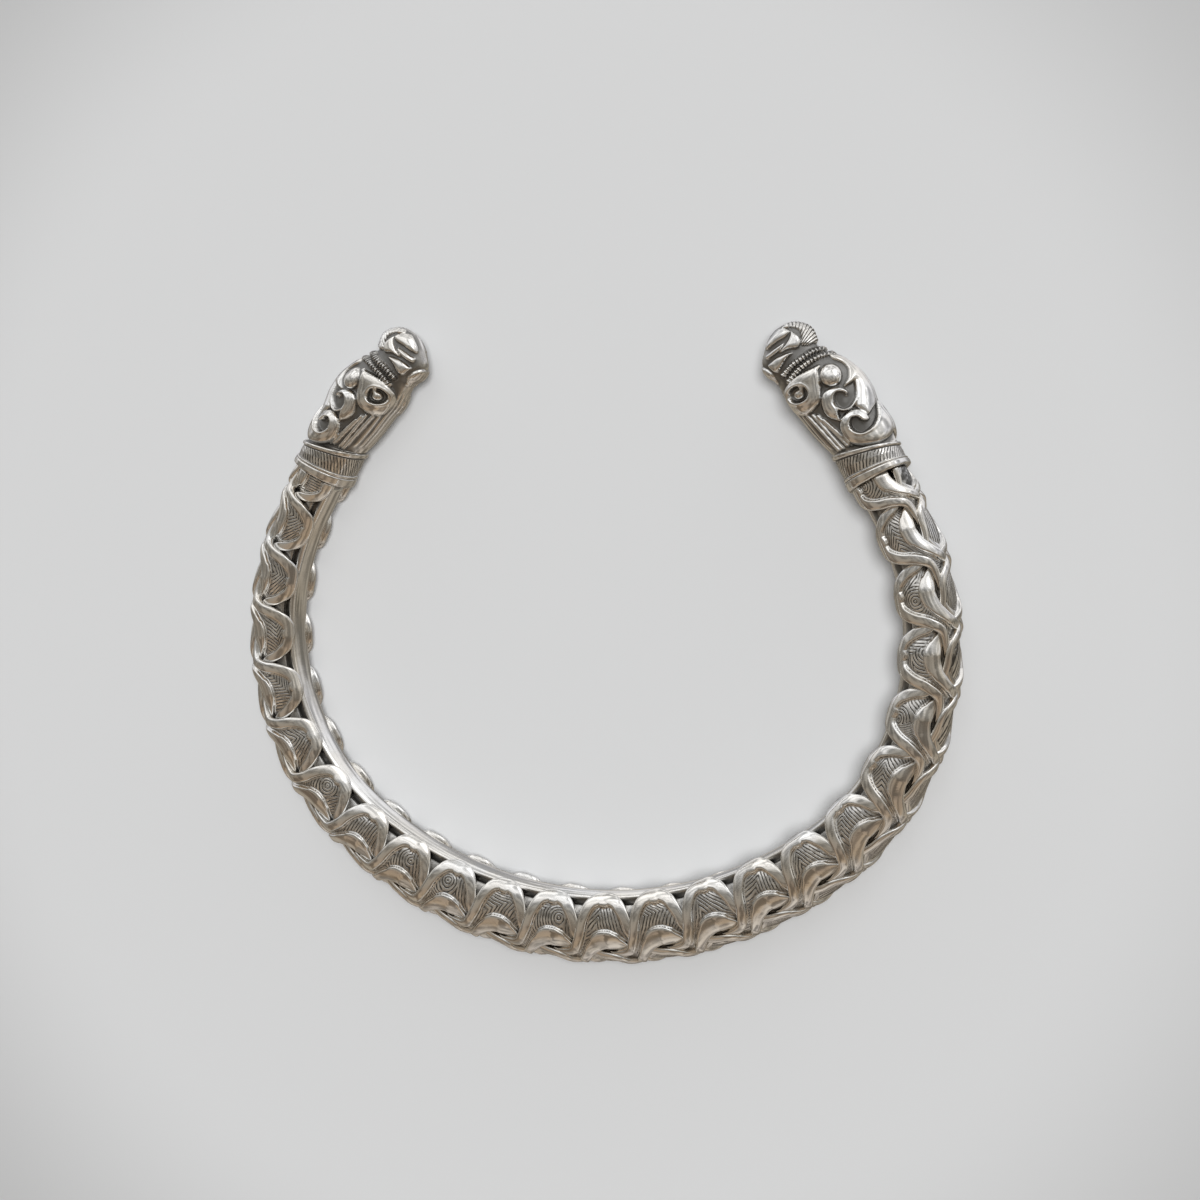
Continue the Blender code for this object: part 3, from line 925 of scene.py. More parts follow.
@dataclass(frozen=True)
class Shape:
    """A raised shape on a head's side, as along from the lip and out from the bore line.

    Its soft line and its sharp line together close its outline. The shape swells from
    the soft line and drops straight down at the sharp one.
    """

    soft: tuple
    sharp: tuple = ()
    rise: float = 0.6
    rounding: float = 0.8
    base: float = 0.0
    far_edge: Edge = Edge.ROUND
    first_rise: float = 0.35
    bead: Bead = Bead(0.09, 0.15, 0.13)
    drop: float = 0.12
    drop_width: float = 0.18

    def lines(self) -> tuple[np.ndarray, np.ndarray | None]:
        """The soft line and the sharp line as smooth curves.

        Returns:
            Both lines, with None for a sharp line that the shape doesn't have.
        """
        if not self.sharp:
            closed = np.asarray(self.soft + self.soft[:1], float)
            return smooth_curve(closed, OUTLINE_STEPS * len(closed)), None
        soft = smooth_curve(self.soft, OUTLINE_STEPS * len(self.soft))
        return soft, smooth_curve(self.sharp, OUTLINE_STEPS * len(self.sharp))

    def height(self, points: np.ndarray) -> np.ndarray:
        """Height of the shape over the head's ground.

        Args:
            points: Points of the head's profile, one row each.

        Returns:
            The height at each point, or minus infinity outside the shape.
        """
        soft, sharp = self.lines()
        outline = soft if sharp is None else np.vstack([soft, sharp[::-1]])
        inside = inside_outline(points, outline)
        result = np.full(len(points), -np.inf)
        if not inside.any():
            return result
        chosen = points[inside]
        share = path_distance(chosen, soft)[0] / self.rounding
        swell = self.first_rise + (1 - self.first_rise) * rounded(share)
        height = self.base + (self.rise - self.base) * swell
        if sharp is not None:
            gap = path_distance(chosen, sharp)[0]
            if self.far_edge is Edge.BEADED:
                height = height + self.bead.height(gap)
            height = height - self.drop * (1 - rounded(gap / self.drop_width))
        result[inside] = height
        return result


@dataclass(frozen=True)
class Stroke:
    """A raised line on a head's side."""

    line: tuple
    half_width: float
    rise: float
    base: float = 0.0

    def height(self, points: np.ndarray) -> tuple[np.ndarray, np.ndarray]:
        """Height of the line over the head's ground.

        Args:
            points: Points of the head's profile, one row each.

        Returns:
            The height at each point, or minus infinity outside, and the length along the line.
        """
        path = smooth_curve(self.line, STROKE_STEPS * len(self.line))
        gap, length = path_distance(points, path)
        length = np.interp(length, np.arange(len(path)), path_lengths(path))
        inside = gap < self.half_width
        swell = np.sqrt(np.clip(1 - (gap / self.half_width) ** 2, 0, 1))
        height = self.base + (self.rise - self.base) * swell
        return np.where(inside, height, -np.inf), length


@dataclass(frozen=True)
class Carving:
    """Everything carved on a beast's head, from its throat to its snout."""

    plate: tuple = (
        (12.84, 4.44), (12.7, 5.3), (11.9, 6.3), (10.6, 7.1), (9.1, 7.6), (7.7, 7.6),
        (6.95, 7.05), (6.45, 6.4), (6.1, 5.75), (5.81, 5.08), (6.31, 4.77), (7.08, 4.37),
        (7.72, 4.83), (8.36, 5.29), (9.31, 5.57), (9.35, 4.89), (9.39, 4.22), (9.76, 4.76),
        (10.18, 5.22), (10.83, 5.45), (11.64, 5.19), (12.3, 4.61),
    )
    low_scroll_outer: tuple = (
        (7.3, 6.8), (6.5, 7.5), (5.4, 7.7), (4.2, 7.5), (3.25, 6.8), (2.8, 5.7),
        (2.85, 4.42), (3.31, 3.16), (4.02, 2.27), (4.96, 1.96), (5.93, 2.02), (6.66, 2.52),
        (6.96, 3.38), (6.83, 4.24), (6.26, 4.86), (5.5, 5.03),
    )
    low_scroll_inner: tuple = (
        (7.3, 6.8), (6.23, 6.34), (5.37, 5.88), (4.75, 5.2), (4.44, 4.34), (4.52, 3.58),
        (5.12, 3.09), (5.78, 3.1), (6.25, 3.46), (6.09, 3.96), (5.64, 4.18), (5.36, 4.49),
        (5.33, 4.94),
    )
    middle_scroll_outer: tuple = (
        (6.5, 2.3), (7.15, 1.62), (7.88, 1.31), (8.63, 1.36), (9.45, 1.69), (9.86, 2.37),
        (9.77, 3.14), (9.46, 3.9), (8.77, 4.35),
    )
    middle_scroll_inner: tuple = (
        (6.5, 2.3), (7.1, 2.52), (7.71, 2.62), (8.43, 2.54), (9.03, 2.86), (9.18, 3.4),
        (8.93, 3.85), (8.47, 4.07),
    )
    middle_ring: tuple = (
        (9.03, 2.86), (8.51, 2.58), (7.8, 2.67), (7.33, 3.11), (7.21, 3.74), (7.44, 4.33),
        (7.89, 4.92), (8.58, 5.29), (9.31, 5.57),
    )
    high_scroll: tuple = (
        (12.46, 2.72), (11.53, 2.57), (10.71, 2.24), (9.88, 1.92), (9.16, 1.41), (8.77, 0.5),
        (8.73, -0.46), (9.2, -1.0), (10.25, -1.3), (11.28, -1.3), (12.02, -0.98), (12.42, -0.24),
        (12.59, 0.67), (12.57, 1.72),
    )
    high_hollow: tuple = (
        (11.68, 0.02), (11.5, 0.55), (10.98, 0.84), (10.4, 0.79), (10.02, 0.38),
        (10.04, -0.31), (10.52, -0.8), (11.2, -0.86), (11.6, -0.48),
    )
    high_bead: Bead = Bead(0.07, 0.14, 0.12)
    high_fall: float = 0.6
    high_fall_width: float = 0.3
    high_floor_drop: float = 0.1
    high_curl: tuple = ((11.75, 0.25), (11.45, 0.42), (11.1, 0.35), (10.82, -0.05))
    high_knob_radius: float = 0.5
    high_knob_base: float = 0.25
    high_knob_rise: float = 0.45
    crest: tuple = (
        (17.6, 1.36), (17.17, 2.31), (16.51, 2.89), (15.8, 2.75), (15.2, 2.43), (14.86, 2.83),
        (14.68, 3.55), (14.68, 4.3), (15.3, 4.4), (16.02, 4.3), (16.9, 3.9), (17.5, 3.2),
        (17.9, 2.2),
    )
    petals: tuple = (
        ((16.83, 2.12), (16.04, 2.52), (15.42, 2.43), (15.06, 1.88), (15.38, 1.11),
         (15.54, 0.01), (15.92, 0.93), (16.33, 1.62)),
        ((16.88, 2.03), (17.4, 1.7), (17.7, 0.85), (17.2, -0.3), (16.52, -0.9),
         (16.63, 0.48), (16.65, 1.44)),
        ((16.0, -1.3), (16.16, 0.11), (16.11, 0.8), (15.71, 0.11), (15.55, -1.3)),
        ((14.99, -1.6), (15.21, -0.4), (14.93, 1.1), (14.54, 0.19), (13.93, -1.1)),
    )
    cables: tuple = (
        ((13.7, 5.0), (13.78, 4.36), (13.99, 3.18), (13.9, 1.73), (13.75, 0.59), (13.32, -0.6)),
        ((13.0, 5.2), (13.05, 4.66), (13.27, 3.27), (13.19, 1.81), (12.95, 0.63), (12.47, -0.5)),
    )
    lip: tuple = ((15.8, -2.9), (14.68, -2.2), (13.94, -1.9), (13.07, -1.75))
    socket_ridge: tuple = ((12.36, 2.9), (11.91, 2.3), (11.25, 2.07), (10.45, 2.11))
    flutes: tuple = (
        ((8.6, -0.41), (4.0, 0.86)), ((8.43, 0.09), (4.03, 1.23)),
        ((8.1, 0.49), (4.04, 1.82)), ((7.46, 0.85), (3.93, 2.22)),
    )
    eye: tuple = (11.0, 3.55)
    eye_radius: float = 1.18
    eye_rise: float = 0.75
    eye_base: float = 0.05
    cable_half_width: float = 0.33
    cable_rise: float = 0.68
    notch_pitch: float = 0.36
    notch_depth: float = 0.36
    crest_centre: tuple[float, float] = (14.6, 1.2)
    rib_pitch: float = 0.33
    rib_depth: float = 0.36
    rib_radius: float = 2.9
    rib_start: float = 0.3
    rib_strength: float = 0.9

    def shapes(self) -> list[Shape]:
        """The raised shapes.

        Returns:
            The plate, two scrolls, the crest and its petals, as closed outlines.
        """
        found = [
            Shape(self.plate, rise=0.78, rounding=1.1),
            Shape(self.low_scroll_outer, self.low_scroll_inner, rise=0.85, rounding=1.0,
                  far_edge=Edge.BEADED),
            Shape(self.middle_scroll_outer, self.middle_scroll_inner, rise=0.75, rounding=0.8,
                  far_edge=Edge.BEADED),
            Shape(self.crest, rise=0.62, rounding=0.6),
        ]
        for petal in self.petals:
            found.append(Shape(petal, rise=0.5, rounding=0.45))
        return found

    def strokes(self) -> list[Stroke]:
        """The raised lines that have no notches.

        Returns:
            The flutes, the lip, the ridge at the eye's socket and the middle scroll's ring.
        """
        found = [Stroke(line, half_width=0.16, rise=0.28) for line in self.flutes]
        found.append(Stroke(self.lip, half_width=0.34, rise=0.4))
        found.append(Stroke(self.socket_ridge, half_width=0.17, rise=0.4))
        found.append(Stroke(self.middle_ring, half_width=0.13, rise=0.6))
        return found

    def heights(self, points: np.ndarray) -> tuple[np.ndarray, np.ndarray, np.ndarray]:
        """Height of the carving over the head's ground.

        Args:
            points: Points of the head's profile, one row each.

        Returns:
            The height, the phase of the notches, and how strong they are at each point.
        """
        height = np.zeros(len(points))
        phase = np.zeros(len(points))
        notched = np.zeros(len(points))
        for shape in self.shapes():
            height = np.maximum(height, shape.height(points))
        height = np.maximum(height, self.high_scroll_height(points))
        for stroke in self.strokes():
            height = np.maximum(height, stroke.height(points)[0])
        for line in self.cables:
            cable = Stroke(line, self.cable_half_width, self.cable_rise)
            raised, length = cable.height(points)
            notch = length / self.notch_pitch
            raised = raised - self.notch_depth * (0.5 + 0.5 * np.sin(2 * np.pi * notch))
            winner = raised > height
            phase = np.where(winner, notch, phase)
            notched = np.where(winner, 1.0, notched)
            height = np.maximum(height, raised)
        crest = smooth_curve(self.crest + self.crest[:1], OUTLINE_STEPS * len(self.crest))
        along, out = (points - np.array(self.crest_centre)).T
        turn = np.arctan2(out, along)
        ribbed = inside_outline(points, crest) & (turn > self.rib_start)
        rib = turn * self.rib_radius / self.rib_pitch
        height = height - self.rib_depth * ribbed * (0.5 + 0.5 * np.sin(2 * np.pi * rib))
        phase = np.where(ribbed, rib, phase)
        notched = np.where(ribbed, self.rib_strength, notched)
        gap = np.hypot(*(points - np.array(self.eye)).T)
        swell = np.sqrt(np.clip(1 - (gap / self.eye_radius) ** 2, 0, 1))
        dome = self.eye_rise * swell + self.eye_base
        height = np.where(gap < self.eye_radius, dome, height)
        return height, phase, notched

    def high_scroll_height(self, points: np.ndarray) -> np.ndarray:
        """Height of the scroll at the jaw's hinge, with the curl and knob in its hollow.

        Args:
            points: Points of the head's profile, one row each.

        Returns:
            The height at each point, or minus infinity outside the scroll.
        """
        body = Shape(self.high_scroll, rise=0.8, rounding=1.0).height(points)
        corners = self.high_hollow + self.high_hollow[:1]
        hollow = smooth_curve(corners, OUTLINE_STEPS * len(corners))
        inside = inside_outline(points, hollow)
        gap = path_distance(points, hollow)[0]
        floor = body - self.high_fall * rounded(gap / self.high_fall_width) - self.high_floor_drop
        curl = Stroke(self.high_curl, half_width=0.21, rise=0.66, base=0.3)
        floor = np.maximum(floor, curl.height(points)[0])
        reach = np.hypot(*(points - np.array(self.high_curl[-1])).T) / self.high_knob_radius
        knob = self.high_knob_base + self.high_knob_rise * rounded(1 - reach)
        floor = np.where(reach < 1, np.maximum(floor, knob), floor)
        return np.where(inside, floor, body + self.high_bead.height(gap))


@dataclass(frozen=True)
class Section:
    """How full a head's cross-section is towards its throat and towards its nape."""

    throat_flat: float
    throat_round: float
    nape_flat: float
    nape_round: float

    def half_width(self, v: np.ndarray) -> np.ndarray:
        """How wide the section is between its throat and its nape.

        Args:
            v: Places from -1 at the throat to 1 at the nape.

        Returns:
            The share of the half depth at each place.
        """
        flat = np.where(v < 0, self.throat_flat, self.nape_flat)
        edge = np.where(v < 0, self.throat_round, self.nape_round)
        return np.clip(1 - np.abs(v) ** flat, 0, 1) ** (1 / edge)


@dataclass(frozen=True)
class BeastHead(SubAssembly):
    """One terminal: a collar over the band's end, and a carved beast's head."""

    bar: Bar
    core: Core
    side: Side
    carving: Carving = Carving()
    gap: float = 0.3
    inner_ledge: float = 0.4
    outer_ledge: float = 0.2
    side_ledge: float = 0.35
    inner_length: float = 4.1
    outer_length: float = 2.4
    collar_section: Section = Section(2.3, 2.3, 2.3, 2.3)
    head_section: Section = Section(2.8, 2.0, 2.4, 1.35)
    half_columns: int = 124
    rows: int = 210
    collar_row_count: int = 58
    profile_samples: int = 900
    ground_drop: float = 0.34
    edge_softness: float = 0.65
    ridge_hold: float = 0.8
    least_lift: float = 0.35
    full_depth: float = 2.2
    flat_depth: float = 2.35
    throat_slopes: tuple[float, float] = (0.35, 0.75)
    throat_flute_pitch: float = 0.56
    throat_flute_depth: float = 0.13
    throat_flute_start: float = 4.4
    throat_flute_end: float = 12.6
    throat_flute_fade: float = 0.8
    carving_lean: tuple = (-0.15, 0.40)
    hatch_pitch: float = 0.36
    hatch_lean: float = 1.75
    hatched_from: tuple[float, float] = (0.34, 0.37)
    hatched_to: tuple[float, float] = (0.81, 0.84)
    hatched_clearing: float = 0.8
    cut_tarnish_start: float = 0.05
    cut_tarnish_range: float = 0.22
    surroundings: float = 5.0
    # Hollows and the low ground on the head's sides are darkened with tarnish and with painted
    # shade.
    hollow_range: float = 0.3
    least_tarnish: float = 0.12
    ground_shade_and_tarnish: float = 0.42
    ground_height: float = 0.12
    ground_slopes: tuple[float, float] = (0.25, 0.7)
    notch_slope: float = 0.3
    snout: tuple = (18.2, 0.7)
    collar_cuts: tuple = (
        (0.0, 0.14), (0.03, 0.03), (0.07, 0.0), (0.2, 0.0), (0.235, 0.04), (0.245, 0.16),
        (0.265, 0.16), (0.275, 0.07), (0.3, 0.05), (0.325, 0.07), (0.335, 0.19), (0.37, 0.2),
        (0.6, 0.16), (0.82, 0.2), (0.84, 0.3), (0.865, 0.3), (0.875, 0.08), (0.9, 0.02),
        (0.96, 0.02), (0.985, 0.06), (1.0, 0.3),
    )
    profile: tuple = (
        ((4.16, -0.55), (2.5, 5.75), 2.75), ((6.83, -1.35), (4.76, 5.92), 2.75),
        ((9.15, -1.85), (6.9, 5.6), 2.75), ((10.49, -2.2), (8.57, 5.7), 2.7),
        ((11.6, -2.25), (10.2, 5.5), 2.6), ((12.93, -2.29), (11.6, 5.0), 2.5),
        ((13.54, -2.35), (12.7, 4.35), 2.4), ((14.33, -2.77), (13.62, 3.6), 2.3),
        ((15.28, -2.94), (14.49, 3.1), 2.15), ((16.0, -2.7), (15.4, 3.05), 2.0),
        ((16.6, -2.2), (16.46, 3.15), 1.78), ((17.31, -1.54), (17.23, 2.8), 1.52),
        ((17.8, -0.9), (17.83, 2.2), 1.15), ((18.1, -0.2), (18.1, 1.7), 0.75),
    )

    def name(self) -> str:
        """Name of the head's piece and of its node."""
        return "head_left" if self.side is Side.LEFT else "head_right"

    def ring(self, throat: np.ndarray, nape: np.ndarray, depth: float,
             section: Section) -> tuple[np.ndarray, np.ndarray]:
        """A ring around the head between a throat point and a nape point.

        Args:
            throat: The point nearest the bore line.
            nape: The point across from it.
            depth: Half depth between them.
            section: How full the section is on each side.

        Returns:
            Points as along, outwards and z, and the outward direction at each.
        """
        turn = np.linspace(-np.pi / 2, np.pi / 2, self.half_columns + 1)
        v = np.concatenate([np.sin(turn), np.sin(turn)[-2:0:-1]])
        up = np.concatenate([np.ones(self.half_columns + 1), -np.ones(self.half_columns - 1)])
        w = up * section.half_width(v)
        half = 0.5 * (nape - throat)
        flat = 0.5 * (throat + nape) + half * v[:, None]
        reach = float(np.hypot(*half))
        step_v = (np.roll(v, -1) - np.roll(v, 1)) * reach
        step_w = (np.roll(w, -1) - np.roll(w, 1)) * depth
        size = np.hypot(step_v, step_w)
        out = np.column_stack([np.outer(-step_w / size, half / reach), step_v / size])
        return np.column_stack([flat, depth * w]), out

    def collar_rings(self) -> tuple[np.ndarray, dict[str, np.ndarray]]:
        """Rows of the collar.

        Returns:
            The rows from its lip to its upper rim, and their marks.
        """
        shares = np.linspace(0, 1, self.collar_row_count)
        known, cuts = np.array(self.collar_cuts).T
        shares = np.unique(np.concatenate([shares, known]))
        cut = np.interp(shares, known, cuts)
        inner = -self.bar.tip_overhang - self.inner_ledge
        outer = self.bar.end_thickness + self.outer_ledge
        depth = 0.5 * self.bar.end_width + self.side_ledge
        rows, phases = [], []
        for share, low in zip(shares, cut):
            throat = np.array([share * self.inner_length, inner + low])
            nape = np.array([share * self.outer_length, outer - low])
            points, _ = self.ring(throat, nape, depth - low, self.collar_section)
            rows.append(points)
            length = np.cumsum(np.hypot(*np.diff(points[:, 1:], axis=0, prepend=points[:1, 1:]).T))
            phases.append((length - self.hatch_lean * share) / self.hatch_pitch)
        hatched = eased(shares, *self.hatched_from) * (1 - eased(shares, *self.hatched_to))
        deep = np.clip((cut - self.cut_tarnish_start) / self.cut_tarnish_range, 0, 1)
        deep = deep * (1 - self.hatched_clearing * hatched)
        columns = len(rows[0])
        marks = {
            "shade_and_tarnish": np.repeat(deep[:, None], columns, axis=1),
            "engraved": np.repeat(hatched[:, None], columns, axis=1),
            "grain": np.array(phases),
        }
        return np.array(rows), marks

    def head_rings(self) -> tuple[np.ndarray, dict[str, np.ndarray]]:
        """Rows of the head.

        Returns:
            The rows from its neck to its snout, and their marks.
        """
        drawn = np.array([[*throat, *nape, depth] for throat, nape, depth in self.profile])
        dense = smooth_curve(drawn, self.profile_samples)
        middle = 0.5 * (dense[:, :2] + dense[:, 2:4])
        length = np.cumsum(np.hypot(*np.diff(middle, axis=0, prepend=middle[:1]).T))
        wanted = np.linspace(0, length[-1], self.rows)
        rows = np.stack([np.interp(wanted, length, dense[:, k]) for k in range(5)], -1)
        bases, outs = [], []
        for row in rows:
            points, out = self.ring(row[:2], row[2:4], row[4] - self.ground_drop,
                                    self.head_section)
            bases.append(points)
            outs.append(out)
        base, out = np.array(bases), np.array(outs)
        across = rows[:, 2:4] - rows[:, :2]
        across = across / np.hypot(*across.T)[:, None]
        throat = eased(-np.einsum("rck,rk->rc", out[..., :2], across), *self.throat_slopes)
        lean = np.clip(self.flat_depth - np.abs(base[..., 2]), 0, None)[..., None]
        flat = (base[..., :2] + lean * np.array(self.carving_lean)).reshape(-1, 2)
        height, phase, notched = (part.reshape(base.shape[:2])
                                  for part in self.carving.heights(flat))
        taper = np.clip(rows[:, 4] / self.full_depth, 0, 1)[:, None]
        height = softened(height, self.edge_softness, self.edge_softness, False)
        height = height * taper + throat * self.throat_flutes(base)
        sideways = np.abs(out[..., 2])
        kept = np.maximum(sideways, self.ridge_hold * notched)
        lift = height * (self.least_lift + (1 - self.least_lift) * kept)
        points = base + out * lift[..., None]
        # Ground below its surroundings, and bare ground on the sides, gets tarnish and painted
        # shade.
        mean = softened(height, self.surroundings, self.surroundings, False)
        bare = (1 - eased(height, 0.0, self.ground_height)) * eased(sideways, *self.ground_slopes)
        deep = (mean - height) / self.hollow_range + self.least_tarnish
        marks = {
            "shade_and_tarnish": np.clip(deep + bare * self.ground_shade_and_tarnish, 0, 1),
            "engraved": notched * eased(sideways, 0.0, self.notch_slope),
            "grain": phase,
        }
        return points, marks

    def throat_flutes(self, base: np.ndarray) -> np.ndarray:
        """Height of the fine flutes that run along the throat from the collar to the lip.

        Args:
            base: Points of the head's ground as along, outwards and z.

        Returns:
            The height at each point.
        """
        along, fade = base[..., 0], self.throat_flute_fade
        start = eased(along, self.throat_flute_start, self.throat_flute_start + fade)
        end = 1 - eased(along, self.throat_flute_end - fade, self.throat_flute_end)
        wave = np.cos(2 * np.pi * base[..., 2] / self.throat_flute_pitch)
        return self.throat_flute_depth * start * end * (0.5 + 0.5 * wave)

    def place(self, points: np.ndarray) -> np.ndarray:
        """Head points in space.

        Args:
            points: Points as along, outwards and z.

        Returns:
            The points in millimetres, mirrored for the left head.
        """
        s = self.bar.half_length + self.gap + points[..., 0]
        placed = self.bar.point(s, points[..., 1], points[..., 2]) - np.array(self.bar.place)
        mirror = np.array([self.side.value, 1.0, 1.0])
        return placed * mirror + np.array(self.bar.place)

    def socket_rows(self, columns: int) -> np.ndarray:
        """The socket for the tenon.

        Args:
            columns: How many points each row has.

        Returns:
            The rows from its floor's pole to its mouth.
        """
        turn = np.linspace(0, 2 * np.pi, columns, endpoint=False) - np.pi
        radius = self.core.tenon_radius() + self.gap
        rows = []
        for along in (self.core.tenon_length, 0.0):
            out = self.core.tenon_centre() + radius * np.cos(turn)
            up = -radius * np.sin(turn)
            rows.append(np.column_stack([np.full(columns, along), out, up]))
        pole = np.broadcast_to(rows[0].mean(axis=0), rows[0].shape)
        return np.array([pole] + rows)

    def make(self) -> bpy.types.Object:
        """Model the terminal.

        Returns:
            The collar and head as one closed skin.
        """
        collar, collar_marks = self.collar_rings()
        head, head_marks = self.head_rings()
        columns = collar.shape[1]
        socket = self.socket_rows(columns)
        tip = np.broadcast_to(np.array([self.snout[0], self.snout[1], 0.0]), (1, columns, 3))
        points = np.concatenate([socket, collar, head, tip])
        marks = {}
        for key in collar_marks:
            # The socket inside the head is made fully dark: painted shade.
            value = 1.0 if key == "shade_and_tarnish" else 0.0
            before = np.full((len(socket), columns), value)
            after = np.zeros((1, columns))
            marks[key] = np.concatenate([before, collar_marks[key], head_marks[key], after])
        return Skin(self.name(), self.place(points), marks).make()

    def dressed(self, finish: bpy.types.Material) -> bpy.types.Object:
        """Model the terminal and dress it."""
        return self.dress(self.make(), finish, self.name())


@dataclass(frozen=True)
class NodeGroup:
    """Shader nodes that every finish shares: some numbers and a place in, numbers out."""

    name: str
    numbers: tuple[str, ...]
    results: tuple[str, ...]

    def build(self) -> bpy.types.NodeTree:
        """Build the node group once.

        Returns:
            The group, new or as it was built before.
        """
        if self.name in bpy.data.node_groups:
            return bpy.data.node_groups[self.name]
        tree = bpy.data.node_groups.new(self.name, "ShaderNodeTree")
        for key in self.numbers:
            tree.interface.new_socket(key, in_out="INPUT", socket_type="NodeSocketFloat")
        tree.interface.new_socket("Vector", in_out="INPUT", socket_type="NodeSocketVector")
        for key in self.results:
            tree.interface.new_socket(key, in_out="OUTPUT", socket_type="NodeSocketFloat")
        source = tree.nodes.new("NodeGroupInput")
        target = tree.nodes.new("NodeGroupOutput")
        for key, value in self.outputs(tree, source.outputs).items():
            tree.links.new(value, target.inputs[key])
        return tree

    def outputs(self, tree: bpy.types.NodeTree,
                given: bpy.types.NodeOutputs) -> dict[str, bpy.types.NodeSocket]:
        """Add the group's own nodes.

        Args:
            tree: The tree that they go in.
            given: The group's inputs, by name.

        Returns:
            What the group gives out, by name.
        """
        raise NotImplementedError


@dataclass(frozen=True)
class LineGroup(NodeGroup):
    """Shader nodes that turn a phase into cut lines."""

    name: str = "cut_lines"
    numbers: tuple[str, ...] = ("Phase", "Strength")
    results: tuple[str, ...] = ("Height", "Groove")
    waver: float = 0.5
    waver_noise: tuple[float, float] = (1500.0, 2.0)
    break_noise: tuple[float, float] = (2600.0, 1.0)
    break_range: tuple = (0.3, 0.55, 0.45, 1.0)
    groove_range: tuple = (-0.1, 0.85, 0.0, 0.75)

    def outputs(self, tree: bpy.types.NodeTree,
                given: bpy.types.NodeOutputs) -> dict[str, bpy.types.NodeSocket]:
        """Add the nodes that draw the lines.

        Args:
            tree: The tree that they go in.
            given: The group's inputs, by name.

        Returns:
            The lines' height, and how much of a groove each place is.
        """
        waver = noise(tree, given["Vector"], *self.waver_noise)
        shift = math_node(tree, "MULTIPLY_ADD", waver, self.waver, given["Phase"])
        turn = math_node(tree, "MULTIPLY", shift, 2 * math.pi)
        wave = math_node(tree, "SINE", turn)
        broken = noise(tree, given["Vector"], *self.break_noise)
        depth = map_range(tree, broken, *self.break_range)
        groove = map_range(tree, wave, *self.groove_range)
        strength = math_node(tree, "MULTIPLY", depth, given["Strength"])
        cut = math_node(tree, "MULTIPLY", groove, strength)
        return {"Height": math_node(tree, "MULTIPLY", cut, -1.0), "Groove": cut}


@dataclass(frozen=True)
class PatinaAndShadeGroup(NodeGroup):
    """Shader nodes for the dark tarnish that stays in hollows, and for the painted shade that
    darkens them.
    """

    name: str = "tarnish_and_shade"
    numbers: tuple[str, ...] = ("Recess", "Groove")
    results: tuple[str, ...] = ("TarnishAndShade", "Tone")
    cloud_noise: tuple[float, float] = (900.0, 4.0)
    cloud_range: tuple = (0.3, 0.7, -0.14, 0.14)
    held_range: tuple = (0.12, 0.85, 0.0, 1.0)
    tone_noise: tuple[float, float] = (220.0, 3.0)

    def outputs(self, tree: bpy.types.NodeTree,
                given: bpy.types.NodeOutputs) -> dict[str, bpy.types.NodeSocket]:
        """Add the nodes that spread the tarnish and the painted shade.

        Args:
            tree: The tree that they go in.
            given: The group's inputs, by name.

        Returns:
            How much tarnish and painted shade each place has, and a slow noise for the metal's
            tone.
        """
        cloud = noise(tree, given["Vector"], *self.cloud_noise)
        spread = map_range(tree, cloud, *self.cloud_range)
        deep = math_node(tree, "ADD", given["Recess"], spread)
        held = map_range(tree, deep, *self.held_range)
        both = math_node(tree, "MAXIMUM", held, given["Groove"])
        return {"TarnishAndShade": both, "Tone": noise(tree, given["Vector"], *self.tone_noise)}


@dataclass(frozen=True)
class PolishGroup(NodeGroup):
    """Shader nodes for a hand polish: soft dents and fine scratches."""

    name: str = "hand_polish"
    numbers: tuple[str, ...] = ()
    results: tuple[str, ...] = ("Height", "Haze")
    dent_noise: tuple[float, float] = (700.0, 1.0)
    scratch_noise: tuple[float, float] = (1400.0, 3.0)
    scratch_turn: tuple = (0.3, 0.5, 0.9)
    scratch_scale: tuple = (1.0, 7.0, 1.0)
    scratch_share: float = 0.22
    haze_noise: tuple[float, float] = (450.0, 4.0)

    def outputs(self, tree: bpy.types.NodeTree,
                given: bpy.types.NodeOutputs) -> dict[str, bpy.types.NodeSocket]:
        """Add the nodes that dent, scratch and dull the metal.

        Args:
            tree: The tree that they go in.
            given: The group's inputs, by name.

        Returns:
            The height of dents and scratches, and a haze for the roughness.
        """
        dents = noise(tree, given["Vector"], *self.dent_noise)
        turn = tree.nodes.new("ShaderNodeMapping")
        turn.inputs["Rotation"].default_value = self.scratch_turn
        turn.inputs["Scale"].default_value = self.scratch_scale
        tree.links.new(given["Vector"], turn.inputs["Vector"])
        scratches = noise(tree, turn.outputs["Vector"], *self.scratch_noise)
        fine = math_node(tree, "MULTIPLY", scratches, self.scratch_share)
        height = math_node(tree, "ADD", dents, fine)
        return {"Height": height, "Haze": noise(tree, given["Vector"], *self.haze_noise)}


def noise(tree: bpy.types.NodeTree, vector: bpy.types.NodeSocket, scale: float,
          detail: float) -> bpy.types.NodeSocket:
    """Add a noise texture and return its value.

    Args:
        tree: The tree that it goes in.
        vector: Where it is read.
        scale: How fine it is.
        detail: How many finer layers it has.

    Returns:
        Its output.
    """
    node = tree.nodes.new("ShaderNodeTexNoise")
    node.inputs["Scale"].default_value = scale
    node.inputs["Detail"].default_value = detail
    tree.links.new(vector, node.inputs["Vector"])
    return node.outputs["Fac"]


def math_node(tree: bpy.types.NodeTree, operation: str,
              *values: bpy.types.NodeSocket | float) -> bpy.types.NodeSocket:
    """Add a math node and return its value.

    Args:
        tree: The tree that it goes in.
        operation: What it does.
        values: Sockets or numbers, in order.

    Returns:
        Its output.
    """
    node = tree.nodes.new("ShaderNodeMath")
    node.operation = operation
    for socket, value in zip(node.inputs, values):
        if isinstance(value, (int, float)):
            socket.default_value = value
        else:
            tree.links.new(value, socket)
    return node.outputs[0]


